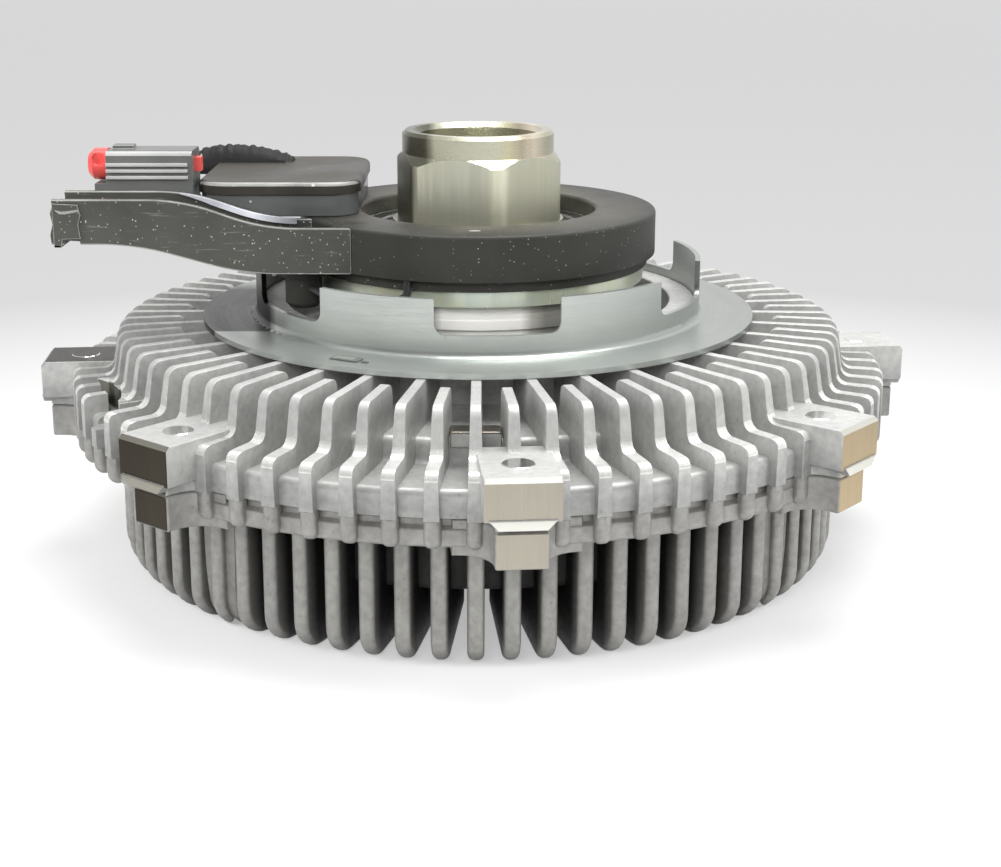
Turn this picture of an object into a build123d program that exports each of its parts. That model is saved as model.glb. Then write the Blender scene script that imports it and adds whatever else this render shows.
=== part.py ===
from build123d import *
import os
from math import cos, radians, sin

os.makedirs("parts", exist_ok=True)

# Electronically controlled viscous fan clutch, in millimetres.
# The axis of rotation is Z. The origin is on the axis, in the plane of the
# cover's fin tips, and the hub points up. Angles are counted from the front
# (-Y) towards +X.

# Bearings of the repeated and single features
fin_phase = -0.3
ear_phase = 4.7
column_phase = 49.7
hex_phase = 12.5
sensor_angle = -60.0
balance_angle = -69.0

# Counts
fin_count = 72
ear_count = 8
column_count = 4
tooth_count = 6
main_ball_count = 9
coil_ball_count = 11
land_count = 3

# Heights of the casing
cover_fin_h = 14.0
cover_wall_t = 5.0
parting_z = 35.5
cover_rim_t = 6.0
chamber_rise = 6.0
roof_wall_t = 5.0
fin_h = 9.2
flange_t = 5.9
rim_rib_h = 10.0
hub_well_drop = 8.0
hub_well_wall = 6.0

# Radii of the casing
chamber_r = 74.0
drum_wall_t = 4.0
rim_wall_r = 95.0
rim_rib_t = 1.8
fin_top_r = 85.6
fin_foot_r = 87.5
cover_fin_r = 86.4
cover_corner = 6.0
cover_corner_mid = 1.8
short_fin_r = 70.5
cover_short_fin_r = 52.0
hub_well_r = 27.0

# Fins, drafted on the side that shows, and how far they sink into the walls
fin_root_t = 3.2
fin_tip_t = 2.1
fin_corner = 1.3
fin_lean = 0.45
cover_fin_t = 3.5
sink = 1.0

# How far a cutting shape runs past what it cuts
overcut = 1.0

# Ears that carry the fan
ear_face_r = 104.0
ear_w = 15.1
ear_top_z = 46.6
ear_bottom_z = 38.0
ear_root_r = 83.0
ear_chamfer = 0.9
ear_ledge = 0.4
ear_ledge_w = 13.4
ear_ledge_low_w = 9.5
ear_ledge_h = 1.6
lower_ear_w = 10.4
lower_ear_r = 102.5
lower_ear_drop = 7.6
ear_flare = 7.0
ear_flare_w = 7.6
ear_flare_r = 93.8
fan_circle = 190.0
fan_hole_r = 2.55
ear_skin = 3.0
spot_circle_r = 94.5
spot_r = 3.3
spot_h = 0.15

# Screws through the cover's wide columns, M4
column_w = 9.6
column_r = 84.7
column_inner_r = 58.0
screw_pad_w = 12.0
screw_pad_over = 2.0
screw_circle_r = 79.8
screw_r = 2.0
screw_head_r = 3.5
screw_head_h = 4.0
screw_head_drop = 1.0
screw_engage = 8.0
screw_tip_gap = 1.0
socket_af = 3.0
socket_depth = 2.2

# Ring seal and filling plug
seal_r = 76.1
seal_w = 1.7
seal_h = 2.0
plug_circle_r = 14.0
plug_angle = 30.0
plug_r = 3.0
plug_head_r = 4.6
plug_head_t = 1.4
plug_tip_gap = 1.0

# Balancing cut in the flange, and the datum pad between the front fins
balance_circle_r = 96.0
balance_cut_r = 8.0
balance_cut_depth = 1.5
datum_r = 76.4
datum_l = 5.2
datum_w = 10.4
datum_h = 1.9

# Neck, flux ring and the shoulder of the target wheel
neck_wall_t = 4.0
neck_h = 25.5
valley_rise = 3.5
flux_ring_t = 3.0
flux_ring_h = 11.7
flux_land_h = 2.3
flux_step_t = 1.0
shoulder_t = 6.0
shoulder_h = 13.3

# Target wheel
wheel_r = 53.3
wheel_t = 1.2
wheel_flange_r = 66.0
wheel_bend_r = 1.6
wheel_h = 14.0
notch_depth = 7.9
notch_corner_r = 2.5
notch_w = 27.3
notch_start_r = 43.0

# Main bearing, 30 x 62 x 20
main_bore_r = 15.0
main_outer_r = 31.0
main_bearing_w = 20.0
main_ball_r = 4.76
main_race_h = 2.95
bearing_lip_t = 2.5
bearing_lip_r = 28.0
circlip_t = 1.6
circlip_depth = 1.5
circlip_w = 3.6
circlip_gap = 9.0

# Coil bearing, 35 x 55 x 10
coil_bore_r = 17.5
coil_outer_r = 27.5
coil_bearing_w = 10.0
coil_ball_r = 2.78
coil_race_h = 1.75
cage_t = 1.8
cage_margin = 0.65
bearing_seal_t = 0.9

# Coil and its steel cup
air_gap = 3.2
core_lip_t = 2.4
core_lip_w = 1.2
core_r = 39.6
core_wall_t = 2.4
core_inner_wall_t = 3.2
core_h = 11.1
core_web_t = 2.8
bobbin_wall_t = 0.9

# Moulded stator ring
ring_r = 42.4
ring_bore_r = 28.0
ring_h = 10.4
ring_rise = 4.0
ring_lip_h = 2.4
ring_lip_t = 1.0
ring_chamfer = 0.5

# Hub and shaft
hex_af = 36.0
hex_corner_r = 20.0
hex_h = 17.2
hex_chamfer_h = 1.9
collar_r = 18.0
collar_h = 5.2
collar_chamfer = 0.8
hub_flange_r = 20.4
hub_flange_t = 1.4
thread_minor_r = 14.2
thread_depth = 22.0
thread_chamfer = 1.2
thread_cone_h = 4.3
rotor_seat_r = 12.5
shaft_tail = 21.0

# Rotor, reservoir plate and nut
rotor_gap = 0.5
rotor_hub_r = 24.0
rotor_hub_h = 12.0
rotor_collar_r = 18.5
rotor_web_t = 4.0
land_t = 2.2
land_pitch = 6.0
first_land_r = 50.0
land_gap = 0.4
port_r = 1.6
port_circle_r = 41.0
reservoir_t = 1.2
reservoir_r = 64.0
reservoir_floor_r = 57.0
reservoir_rim_w = 4.0
nut_af = 36.0
nut_h = 6.0

# Valve
valve_t = 1.6
valve_r = 44.5
valve_bore_r = 35.5
valve_rise = 1.3
valve_pin_r = 1.0
valve_pin_circle_r = 46.5
valve_eye_l = 7.0
valve_eye_t = 0.8
valve_lug_t = 2.2
valve_lug_w = 3.2
valve_lug_over = 1.0
valve_pad_r = 3.0

# Tether arm, from the ring along -X
arm_front_y = -31.8
arm_w = 14.3
arm_wall_t = 1.6
arm_floor_t = 1.8
arm_end_x = -96.0
arm_rise = 6.4
arm_floor_rise = 6.7
arm_top_bend_x = (-47.5, -66.0)
arm_floor_bend_x = (-52.0, -76.5)
arm_top_bend_r = 45.0
arm_floor_bend_r = 60.0
harness_w = 9.6
harness_t = 6.2
harness_end_gap = 1.0
clip_x = -91.4
clip_w = 6.4
clip_t = 0.9

# Junction box on the ring
box_left_x = -64.4
box_right_x = -27.8
box_front_y = -16.5
box_back_y = 30.0
box_corner_r = 7.0
box_base_h = 5.2
box_wall_t = 1.8
box_floor_t = 1.6
lid_h = 2.8
lid_over = 0.6
lid_edge_r = 1.2
board_t = 1.6

# Gland on the lid, and the short cable from it to the connector's back
gland_left_x = -70.6
gland_right_x = -46.0
gland_y = 21.5
gland_r = 4.8
gland_up = 0.8
gland_edge_r = 2.0
pigtail_r = 2.3
pigtail_up = 2.6
pigtail_x = -80.4
pigtail_bend_r = 9.4

# Connector on the arm's shelf
connector_left_x = -88.2
connector_right_x = -65.6
connector_front_y = -15.4
connector_d = 11.4
connector_h = 11.4
connector_edge_r = 1.5
connector_rib_t = 0.8
connector_rib_h = 0.7
connector_rib_inset = 1.0
connector_ribs_up = (5.4, 6.9, 8.3)
connector_step = 2.8
latch_left_x = -84.4
latch_l = 4.8
latch_w = 3.6
latch_h = 0.9
shelf_t = 2.0
shelf_drop = 2.8
lock_head_l = 4.4
lock_head_h = 7.2
lock_head_w = 8.0
lock_head_r = 3.3
lock_head_edge = 1.2
lock_bar_h = 3.2
lock_bar_w = 3.2
lock_bar_up = 7.9
lock_tail_l = 1.4

# Speed sensor under the arm's root
sensor_r = 4.2
sensor_circle_r = 46.0
sensor_h = 9.0
sensor_edge = 1.0
sensor_foot_r = 5.0
sensor_foot_h = 2.0
lead_r = 0.85
lead_drop = 4.2
lead_sag = 1.2
lead_start_out = 0.4
lead_start_turn = 5.6
lead_mid_out = 1.6
lead_mid_turn = 20.0
lead_end_turn = 38.0
lead_bend_r = 9.0
lead_top_bend_r = 2.0

# Clearances
press_gap = 0.02
seat_gap = 0.05
running_gap = 0.06
fit_gap = 0.3

# Heights that follow
cover_floor_z = cover_fin_h + cover_wall_t
cover_rim_z = parting_z - cover_rim_t
lower_ear_z = parting_z - lower_ear_drop
chamber_z = parting_z + chamber_rise
roof_z = chamber_z + roof_wall_t
fin_top_z = roof_z + fin_h
flange_z = parting_z + flange_t
rim_rib_z = parting_z + rim_rib_h
main_bearing_z = parting_z + bearing_lip_t
main_bearing_top_z = main_bearing_z + main_bearing_w
main_mid_z = main_bearing_z + main_bearing_w / 2
valley_z = roof_z + valley_rise
neck_top_z = parting_z + neck_h
flux_top_z = valley_z + flux_ring_h
core_z = flux_top_z + air_gap
core_top_z = core_z + core_h
coil_bearing_z = core_z + core_lip_t
coil_bearing_top_z = coil_bearing_z + coil_bearing_w
coil_mid_z = coil_bearing_z + coil_bearing_w / 2
ring_top_z = coil_bearing_top_z + ring_rise
ring_z = ring_top_z - ring_h
ring_lip_z = ring_z - ring_lip_h
hex_z = coil_bearing_top_z + hub_flange_t
hex_top_z = coil_bearing_top_z + hex_h
hub_top_z = hex_top_z + collar_h
rotor_hub_z = main_bearing_z - rotor_hub_h
rotor_top_z = parting_z - fit_gap
rotor_z = rotor_top_z - rotor_web_t
reservoir_z = rotor_hub_z - reservoir_t
nut_z = reservoir_z - nut_h
shaft_end_z = main_bearing_z - shaft_tail
well_floor_z = cover_floor_z - hub_well_drop
well_bottom_z = well_floor_z - hub_well_wall
valve_z = rotor_top_z + valve_rise
valve_pin_z = valve_z + valve_t / 2
notch_z = fin_top_z + wheel_h - notch_depth
arm_top_z = ring_top_z + arm_rise
arm_floor_z = ring_z + arm_floor_rise
shelf_z = arm_top_z - shelf_drop

# Radii and places that follow
drum_r = chamber_r + drum_wall_t
rim_r = rim_wall_r + rim_rib_t
neck_r = main_outer_r + neck_wall_t
chamber_bore_r = neck_r - flux_step_t
flux_r = neck_r + flux_ring_t
wheel_bore_r = wheel_r - wheel_t
shoulder_r = wheel_bore_r - seat_gap
shoulder_mid_r = shoulder_r - shoulder_t / 2
rotor_r = chamber_r - rotor_gap
main_pitch_r = (main_bore_r + main_outer_r) / 2
coil_pitch_r = (coil_bore_r + coil_outer_r) / 2
core_bore_r = coil_outer_r + press_gap
core_inner_r = core_bore_r + core_inner_wall_t
core_slot_r = core_r - core_wall_t
arm_back_y = arm_front_y + arm_w
column_bearings = [column_phase + 360 / column_count * index for index in range(column_count)]


def azimuth(front_angle):
    """Angle from +X of a bearing that is counted from the front towards +X."""
    return front_angle - 90


def at_angle(radius, front_angle, z=0.0):
    """Point at a radius and a bearing that is counted from the front."""
    angle = radians(azimuth(front_angle))
    return (radius * cos(angle), radius * sin(angle), z)


def turned(*outline):
    """Solid of revolution about Z from an outline in radius and height."""
    with BuildPart() as solid:
        with BuildSketch(Plane.XZ):
            with BuildLine():
                Polyline(*outline, close=True)
            make_face()
        revolve(axis=Axis.Z)
    return solid.part


def turned_ring(inner_r, outer_r, low_z, high_z):
    """Plain ring about Z."""
    return turned((inner_r, low_z), (outer_r, low_z), (outer_r, high_z), (inner_r, high_z))


def fin(outline, root_t):
    """Fin of one thickness, standing along +X, from its outline in radius and height."""
    with BuildPart() as blade:
        with BuildSketch(Plane.XZ):
            with BuildLine():
                Polyline(*outline, close=True)
            make_face()
        extrude(amount=root_t / 2, both=True)
    return blade.part


def drafted_fin(outline, root_z, root_t, tip_z, tip_t):
    """Fin like the one above, which narrows from its root to its tip."""
    with BuildPart() as blade:
        add(fin(outline, root_t))
        with BuildSketch(Plane.YZ):
            with BuildLine():
                Polyline(
                    (-root_t / 2, root_z),
                    (root_t / 2, root_z),
                    (tip_t / 2, tip_z),
                    (-tip_t / 2, tip_z),
                    close=True,
                )
            make_face()
        extrude(amount=rim_r, mode=Mode.INTERSECT)
    return blade.part


def ear_block(width, face_r, low_z, high_z):
    """Ear along +X, which sweeps out into the rim on both sides."""
    half = width / 2
    wide = half + ear_flare_w
    with BuildPart() as block:
        with BuildSketch(Plane.XY.offset(low_z)):
            with BuildLine():
                FilletPolyline(
                    (ear_root_r, -wide),
                    (ear_flare_r, -wide),
                    (ear_flare_r, -half),
                    (face_r, -half),
                    (face_r, half),
                    (ear_flare_r, half),
                    (ear_flare_r, wide),
                    (ear_root_r, wide),
                    radius=[0, 0, ear_flare, 0, 0, ear_flare, 0, 0],
                    close=True,
                )
            make_face()
        extrude(amount=high_z - low_z)
    return block.part


def bearing_ring(inner_r, outer_r, low_z, width, pitch_r, ball_r):
    """Race of a ball bearing, with its groove."""
    with BuildPart() as race:
        add(turned_ring(inner_r, outer_r, low_z, low_z + width))
        with Locations((0, 0, low_z + width / 2)):
            Torus(pitch_r, ball_r + running_gap, mode=Mode.SUBTRACT)
    return race.part


def ball_set(pitch_r, ball_r, count, mid_z):
    """Balls of a bearing."""
    with BuildPart() as balls:
        with Locations((0, 0, mid_z)):
            with PolarLocations(pitch_r, count):
                Sphere(ball_r)
    return balls.part


def ball_cage(pitch_r, ball_r, count, mid_z):
    """Ring between the races, with a square window for each ball."""
    half_h = ball_r + cage_margin
    window = 2 * (ball_r + running_gap)
    with BuildPart() as cage:
        add(turned_ring(pitch_r - cage_t / 2, pitch_r + cage_t / 2, mid_z - half_h, mid_z + half_h))
        with Locations((0, 0, mid_z)):
            with PolarLocations(pitch_r, count):
                Box(cage_t + 2 * overcut, window, window, mode=Mode.SUBTRACT)
    return cage.part


def side_rings(inner_r, outer_r, low_z, width):
    """The two thin rings that close a bearing's sides."""
    inset = fit_gap
    with BuildPart() as rings:
        add(turned_ring(inner_r, outer_r, low_z + inset, low_z + inset + bearing_seal_t))
        high = low_z + width - inset
        add(turned_ring(inner_r, outer_r, high - bearing_seal_t, high))
    return rings.part


def snap_ring(inner_r, outer_r, low_z, thickness, gap_angle):
    """Open retaining ring, with its gap at a bearing counted from the front."""
    with BuildPart() as ring:
        add(turned_ring(inner_r, outer_r, low_z, low_z + thickness))
        with BuildSketch(Plane.XY.offset(low_z)):
            with Locations(at_angle(outer_r, gap_angle)):
                Rectangle(outer_r, circlip_gap, rotation=azimuth(gap_angle))
        extrude(amount=thickness, mode=Mode.SUBTRACT)
    return ring.part


def save(part, name):
    """Label a finished piece and write it under its own name."""
    part.label = name
    export_step(part, f"parts/{name}.step")


# Rear housing, the half of the casing towards the engine
upper_fin_face = [
    (fin_top_r - fin_corner, fin_top_z),
    (fin_top_r + fin_lean, fin_top_z - fin_corner),
    (fin_foot_r, rim_rib_z),
    (rim_r - fin_corner, rim_rib_z),
    (rim_r, rim_rib_z - fin_corner),
    (rim_r, parting_z),
    (rim_wall_r - sink, parting_z),
    (rim_wall_r - sink, flange_z - sink),
    (drum_r - sink, flange_z - sink),
    (drum_r - sink, roof_z - sink),
]
upper_draft = (parting_z, fin_root_t, fin_top_z, fin_tip_t)
long_upper_fin = drafted_fin(
    [(shoulder_mid_r, fin_top_z)] + upper_fin_face + [(shoulder_mid_r, roof_z - sink)], *upper_draft
)
short_upper_fin = drafted_fin(
    [(short_fin_r, fin_top_z)] + upper_fin_face + [(short_fin_r, roof_z - sink)], *upper_draft
)

with BuildPart() as upper_ear:
    with BuildSketch(Plane.XY.offset(ear_bottom_z)):
        with Locations(((ear_root_r + ear_face_r) / 2, 0)):
            Rectangle(ear_face_r - ear_root_r, ear_w)
    extrude(amount=ear_top_z - ear_bottom_z)
    chamfer(upper_ear.edges().group_by(Axis.Z)[-1].sort_by(Axis.X)[-1], ear_chamfer)
    with BuildSketch(Plane.YZ.offset(ear_root_r)):
        with BuildLine():
            Polyline(
                (-ear_ledge_w / 2, ear_bottom_z),
                (ear_ledge_w / 2, ear_bottom_z),
                (ear_ledge_low_w / 2, ear_bottom_z - ear_ledge_h),
                (-ear_ledge_low_w / 2, ear_bottom_z - ear_ledge_h),
                close=True,
            )
        make_face()
    extrude(amount=ear_face_r + ear_ledge - ear_root_r)
    add(ear_block(lower_ear_w, lower_ear_r, parting_z, ear_bottom_z))
    # Ejector spot on top
    with BuildSketch(Plane.XY.offset(ear_top_z)):
        with Locations((spot_circle_r, 0)):
            Circle(spot_r)
    extrude(amount=spot_h)

with BuildPart() as rear_housing:
    with BuildSketch(Plane.XZ):
        with BuildLine():
            Polyline(
                (chamber_r, parting_z),
                (rim_wall_r, parting_z),
                (rim_wall_r, flange_z),
                (drum_r, flange_z),
                (drum_r, roof_z),
                (shoulder_r, roof_z),
                (shoulder_r, roof_z + shoulder_h),
                (shoulder_r - shoulder_t, roof_z + shoulder_h),
                (shoulder_r - shoulder_t, valley_z),
                (neck_r, valley_z),
                (neck_r, neck_top_z),
                (main_outer_r + press_gap, neck_top_z),
                (main_outer_r + press_gap, main_bearing_z),
                (bearing_lip_r, main_bearing_z),
                (bearing_lip_r, parting_z),
                (chamber_bore_r, parting_z),
                (chamber_bore_r, chamber_z),
                (chamber_r, chamber_z),
                close=True,
            )
        make_face()
    revolve(axis=Axis.Z)
    for index in range(land_count):
        land_r = first_land_r + land_pitch * (index + 0.5)
        add(turned_ring(land_r - land_t / 2, land_r + land_t / 2, rotor_top_z + land_gap, chamber_z))
    with PolarLocations(0, fin_count // 2, start_angle=azimuth(fin_phase)):
        add(long_upper_fin)
    with PolarLocations(0, fin_count // 2, start_angle=azimuth(fin_phase) + 360 / fin_count):
        add(short_upper_fin)
    with PolarLocations(0, ear_count, start_angle=azimuth(ear_phase)):
        add(upper_ear.part)
    # Pads over the cover's screws
    with BuildSketch(Plane.XY.offset(parting_z)):
        for bearing in column_bearings:
            with Locations(at_angle((drum_r + ear_root_r) / 2, bearing)):
                Rectangle(
                    ear_root_r - drum_r + 2 * screw_pad_over, screw_pad_w, rotation=azimuth(bearing)
                )
    extrude(amount=ear_top_z - parting_z)
    # Datum pad across the front fin
    with BuildSketch(Plane.XY.offset(roof_z - sink)):
        with Locations(at_angle(datum_r, fin_phase)):
            Rectangle(datum_l, datum_w, rotation=azimuth(fin_phase))
    extrude(amount=sink + datum_h)
    # Tapped holes for the fan, and blind ones for the cover's screws
    with BuildSketch(Plane.XY.offset(parting_z)):
        with PolarLocations(fan_circle / 2, ear_count, start_angle=azimuth(ear_phase)):
            Circle(fan_hole_r)
    extrude(amount=ear_top_z - ear_skin - parting_z, mode=Mode.SUBTRACT)
    with BuildSketch(Plane.XY.offset(parting_z)):
        with PolarLocations(screw_circle_r, column_count, start_angle=azimuth(column_phase)):
            Circle(screw_r + seat_gap)
    extrude(amount=screw_engage + screw_tip_gap, mode=Mode.SUBTRACT)
    # Groove for the bearing's retaining ring
    groove_z = main_bearing_top_z + seat_gap
    add(
        turned_ring(
            main_outer_r - overcut,
            main_outer_r + circlip_depth,
            groove_z,
            groove_z + circlip_t + 2 * seat_gap,
        ),
        mode=Mode.SUBTRACT,
    )
    # Balancing cut across the flange fins
    with BuildSketch(Plane.XY.offset(flange_z - balance_cut_depth)):
        with Locations(at_angle(balance_circle_r, balance_angle)):
            Circle(balance_cut_r)
    extrude(amount=rim_rib_h, mode=Mode.SUBTRACT)
save(rear_housing.part, "rear_housing")

# Front cover, the half of the casing towards the fan
cover_fin_face = [
    (cover_fin_r - cover_corner, 0),
    (cover_fin_r - cover_corner_mid, cover_corner_mid),
    (cover_fin_r, cover_corner),
    (cover_fin_r, cover_rim_z),
    (rim_r, cover_rim_z),
    (rim_r, parting_z),
    (rim_wall_r - sink, parting_z),
    (rim_wall_r - sink, cover_rim_z + sink),
    (drum_r - sink, cover_rim_z + sink),
    (drum_r - sink, cover_fin_h + sink),
]
well_wall_r = hub_well_r + hub_well_wall
long_cover_fin = fin(
    [(well_wall_r - sink, well_bottom_z + sink), (well_wall_r + well_bottom_z, 0)]
    + cover_fin_face
    + [(well_wall_r - sink, cover_fin_h + sink)],
    cover_fin_t,
)
short_cover_fin = fin(
    [(cover_short_fin_r, 0)] + cover_fin_face + [(cover_short_fin_r, cover_fin_h + sink)],
    cover_fin_t,
)

with BuildPart() as cover_column:
    with BuildSketch(Plane.XZ):
        with BuildLine():
            FilletPolyline(
                (column_inner_r, 0),
                (column_r, 0),
                (column_r, cover_rim_z + sink),
                (drum_r - sink, cover_rim_z + sink),
                (drum_r - sink, cover_fin_h + sink),
                (column_inner_r, cover_fin_h + sink),
                radius=[0, cover_corner, 0, 0, 0, 0],
                close=True,
            )
        make_face()
    extrude(amount=column_w / 2, both=True)

with BuildPart() as front_cover:
    with BuildSketch(Plane.XZ):
        with BuildLine():
            Polyline(
                (0, well_floor_z),
                (hub_well_r, well_floor_z),
                (hub_well_r, cover_floor_z),
                (chamber_r, cover_floor_z),
                (chamber_r, parting_z),
                (rim_wall_r, parting_z),
                (rim_wall_r, cover_rim_z),
                (drum_r, cover_rim_z),
                (drum_r, cover_fin_h),
                (well_wall_r, cover_fin_h),
                (well_wall_r, well_bottom_z),
                (0, well_bottom_z),
                close=True,
            )
        make_face()
    revolve(axis=Axis.Z)
    with PolarLocations(0, fin_count // 2, start_angle=azimuth(fin_phase)):
        add(long_cover_fin)
    with PolarLocations(0, fin_count // 2, start_angle=azimuth(fin_phase) + 360 / fin_count):
        add(short_cover_fin)
    with PolarLocations(0, column_count, start_angle=azimuth(column_phase)):
        add(cover_column.part)
    with PolarLocations(0, ear_count, start_angle=azimuth(ear_phase)):
        add(ear_block(lower_ear_w, lower_ear_r, lower_ear_z, parting_z))
    # Counterbored holes for the screws
    head_room = screw_head_h + screw_head_drop
    with BuildSketch(Plane.XY):
        with PolarLocations(screw_circle_r, column_count, start_angle=azimuth(column_phase)):
            Circle(screw_r + fit_gap)
    extrude(amount=parting_z, mode=Mode.SUBTRACT)
    with BuildSketch(Plane.XY):
        with PolarLocations(screw_circle_r, column_count, start_angle=azimuth(column_phase)):
            Circle(screw_head_r + fit_gap)
    extrude(amount=head_room, mode=Mode.SUBTRACT)
    # Tapped holes for the fan
    with BuildSketch(Plane.XY.offset(lower_ear_z)):
        with PolarLocations(fan_circle / 2, ear_count, start_angle=azimuth(ear_phase)):
            Circle(fan_hole_r)
    extrude(amount=lower_ear_drop, mode=Mode.SUBTRACT)
    # Seal groove and filling hole
    seal_groove = turned_ring(
        seal_r - seal_w / 2 - seat_gap,
        seal_r + seal_w / 2 + seat_gap,
        parting_z - seal_h,
        parting_z,
    )
    add(seal_groove, mode=Mode.SUBTRACT)
    with BuildSketch(Plane.XY.offset(well_bottom_z)):
        with Locations(at_angle(plug_circle_r, plug_angle)):
            Circle(plug_r + press_gap)
    extrude(amount=hub_well_wall, mode=Mode.SUBTRACT)
save(front_cover.part, "front_cover")

# Cover screws, from below through the wide columns
with BuildPart() as cover_screws:
    with BuildSketch(Plane.XY.offset(screw_head_drop)):
        with PolarLocations(screw_circle_r, column_count, start_angle=azimuth(column_phase)):
            Circle(screw_head_r)
    extrude(amount=screw_head_h)
    with BuildSketch(Plane.XY.offset(head_room)):
        with PolarLocations(screw_circle_r, column_count, start_angle=azimuth(column_phase)):
            Circle(screw_r)
    extrude(amount=parting_z + screw_engage - head_room)
    with BuildSketch(Plane.XY.offset(screw_head_drop)):
        with PolarLocations(screw_circle_r, column_count, start_angle=azimuth(column_phase)):
            RegularPolygon(socket_af / 2, 6, major_radius=False)
    extrude(amount=socket_depth, mode=Mode.SUBTRACT)
save(cover_screws.part, "cover_screws")

# Ring seal in the parting face
rim_seal = turned_ring(
    seal_r - seal_w / 2, seal_r + seal_w / 2, parting_z - seal_h, parting_z - press_gap
)
save(rim_seal, "rim_seal")

# Filling plug in the floor of the cover's well
with BuildPart() as fill_plug:
    with BuildSketch(Plane.XY.offset(well_bottom_z)):
        with Locations(at_angle(plug_circle_r, plug_angle)):
            Circle(plug_r)
    extrude(amount=hub_well_wall - plug_tip_gap)
    with BuildSketch(Plane.XY.offset(well_bottom_z - plug_head_t)):
        with Locations(at_angle(plug_circle_r, plug_angle)):
            Circle(plug_head_r)
    extrude(amount=plug_head_t)
save(fill_plug.part, "fill_plug")

# Flux ring on the neck, with its turned land on top
flux_ring = turned(
    (neck_r + press_gap, valley_z),
    (flux_r - flux_step_t, valley_z),
    (flux_r - flux_step_t, flux_top_z - flux_land_h),
    (flux_r, flux_top_z - flux_land_h),
    (flux_r, flux_top_z),
    (neck_r + press_gap, flux_top_z),
)
save(flux_ring, "flux_ring")

# Target wheel, a pressed ring with upstanding teeth
with BuildPart() as notch:
    with BuildSketch(Plane.YZ.offset(notch_start_r)):
        with BuildLine():
            FilletPolyline(
                (-notch_w / 2, notch_z),
                (notch_w / 2, notch_z),
                (notch_w / 2, notch_z + wheel_h),
                (-notch_w / 2, notch_z + wheel_h),
                radius=[notch_corner_r, notch_corner_r, 0, 0],
                close=True,
            )
        make_face()
    extrude(amount=wheel_r + overcut - notch_start_r)

with BuildPart() as target_wheel:
    with BuildSketch(Plane.XZ):
        with BuildLine():
            FilletPolyline(
                (wheel_bore_r, fin_top_z + wheel_h),
                (wheel_bore_r, fin_top_z),
                (wheel_flange_r, fin_top_z),
                (wheel_flange_r, fin_top_z + wheel_t),
                (wheel_r, fin_top_z + wheel_t),
                (wheel_r, fin_top_z + wheel_h),
                radius=[0, wheel_bend_r + wheel_t, 0, 0, wheel_bend_r, 0],
                close=True,
            )
        make_face()
    revolve(axis=Axis.Z)
    with PolarLocations(0, tooth_count, start_angle=azimuth(ear_phase)):
        add(notch.part, mode=Mode.SUBTRACT)
save(target_wheel.part, "target_wheel")

# Main bearing
save(
    bearing_ring(
        main_pitch_r + main_race_h,
        main_outer_r,
        main_bearing_z,
        main_bearing_w,
        main_pitch_r,
        main_ball_r,
    ),
    "main_bearing_outer",
)
save(
    bearing_ring(
        main_bore_r,
        main_pitch_r - main_race_h,
        main_bearing_z,
        main_bearing_w,
        main_pitch_r,
        main_ball_r,
    ),
    "main_bearing_inner",
)
save(
    side_rings(
        main_pitch_r - main_race_h + fit_gap,
        main_pitch_r + main_race_h - press_gap,
        main_bearing_z,
        main_bearing_w,
    ),
    "main_bearing_seals",
)
save(ball_set(main_pitch_r, main_ball_r, main_ball_count, main_mid_z), "main_bearing_balls")
save(ball_cage(main_pitch_r, main_ball_r, main_ball_count, main_mid_z), "main_bearing_cage")
save(
    snap_ring(
        main_outer_r + circlip_depth - seat_gap - circlip_w,
        main_outer_r + circlip_depth - seat_gap,
        main_bearing_top_z + 2 * seat_gap,
        circlip_t,
        ear_phase,
    ),
    "bearing_circlip",
)

# Coil bearing
save(
    bearing_ring(
        coil_pitch_r + coil_race_h,
        coil_outer_r,
        coil_bearing_z,
        coil_bearing_w,
        coil_pitch_r,
        coil_ball_r,
    ),
    "coil_bearing_outer",
)
save(
    bearing_ring(
        coil_bore_r,
        coil_pitch_r - coil_race_h,
        coil_bearing_z,
        coil_bearing_w,
        coil_pitch_r,
        coil_ball_r,
    ),
    "coil_bearing_inner",
)
save(
    side_rings(
        coil_pitch_r - coil_race_h + fit_gap,
        coil_pitch_r + coil_race_h - press_gap,
        coil_bearing_z,
        coil_bearing_w,
    ),
    "coil_bearing_shields",
)
save(ball_set(coil_pitch_r, coil_ball_r, coil_ball_count, coil_mid_z), "coil_bearing_balls")
save(ball_cage(coil_pitch_r, coil_ball_r, coil_ball_count, coil_mid_z), "coil_bearing_cage")
shaft_groove_z = coil_bearing_z - circlip_t - seat_gap
save(
    snap_ring(
        coil_bore_r - circlip_depth + seat_gap,
        coil_bore_r - circlip_depth + seat_gap + circlip_w,
        shaft_groove_z,
        circlip_t,
        ear_phase,
    ),
    "coil_bearing_circlip",
)

# Hub and shaft, one forging with a blind thread
with BuildPart() as hexagon:
    with BuildSketch(Plane.XY.offset(hex_z)):
        RegularPolygon(hex_af / 2, 6, major_radius=False, rotation=azimuth(hex_phase))
    extrude(amount=hex_top_z - hex_z)
    add(
        turned(
            (0, hex_z),
            (hex_corner_r, hex_z),
            (hex_corner_r, hex_top_z - hex_chamfer_h),
            (hex_af / 2, hex_top_z),
            (0, hex_top_z),
        ),
        mode=Mode.INTERSECT,
    )

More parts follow.
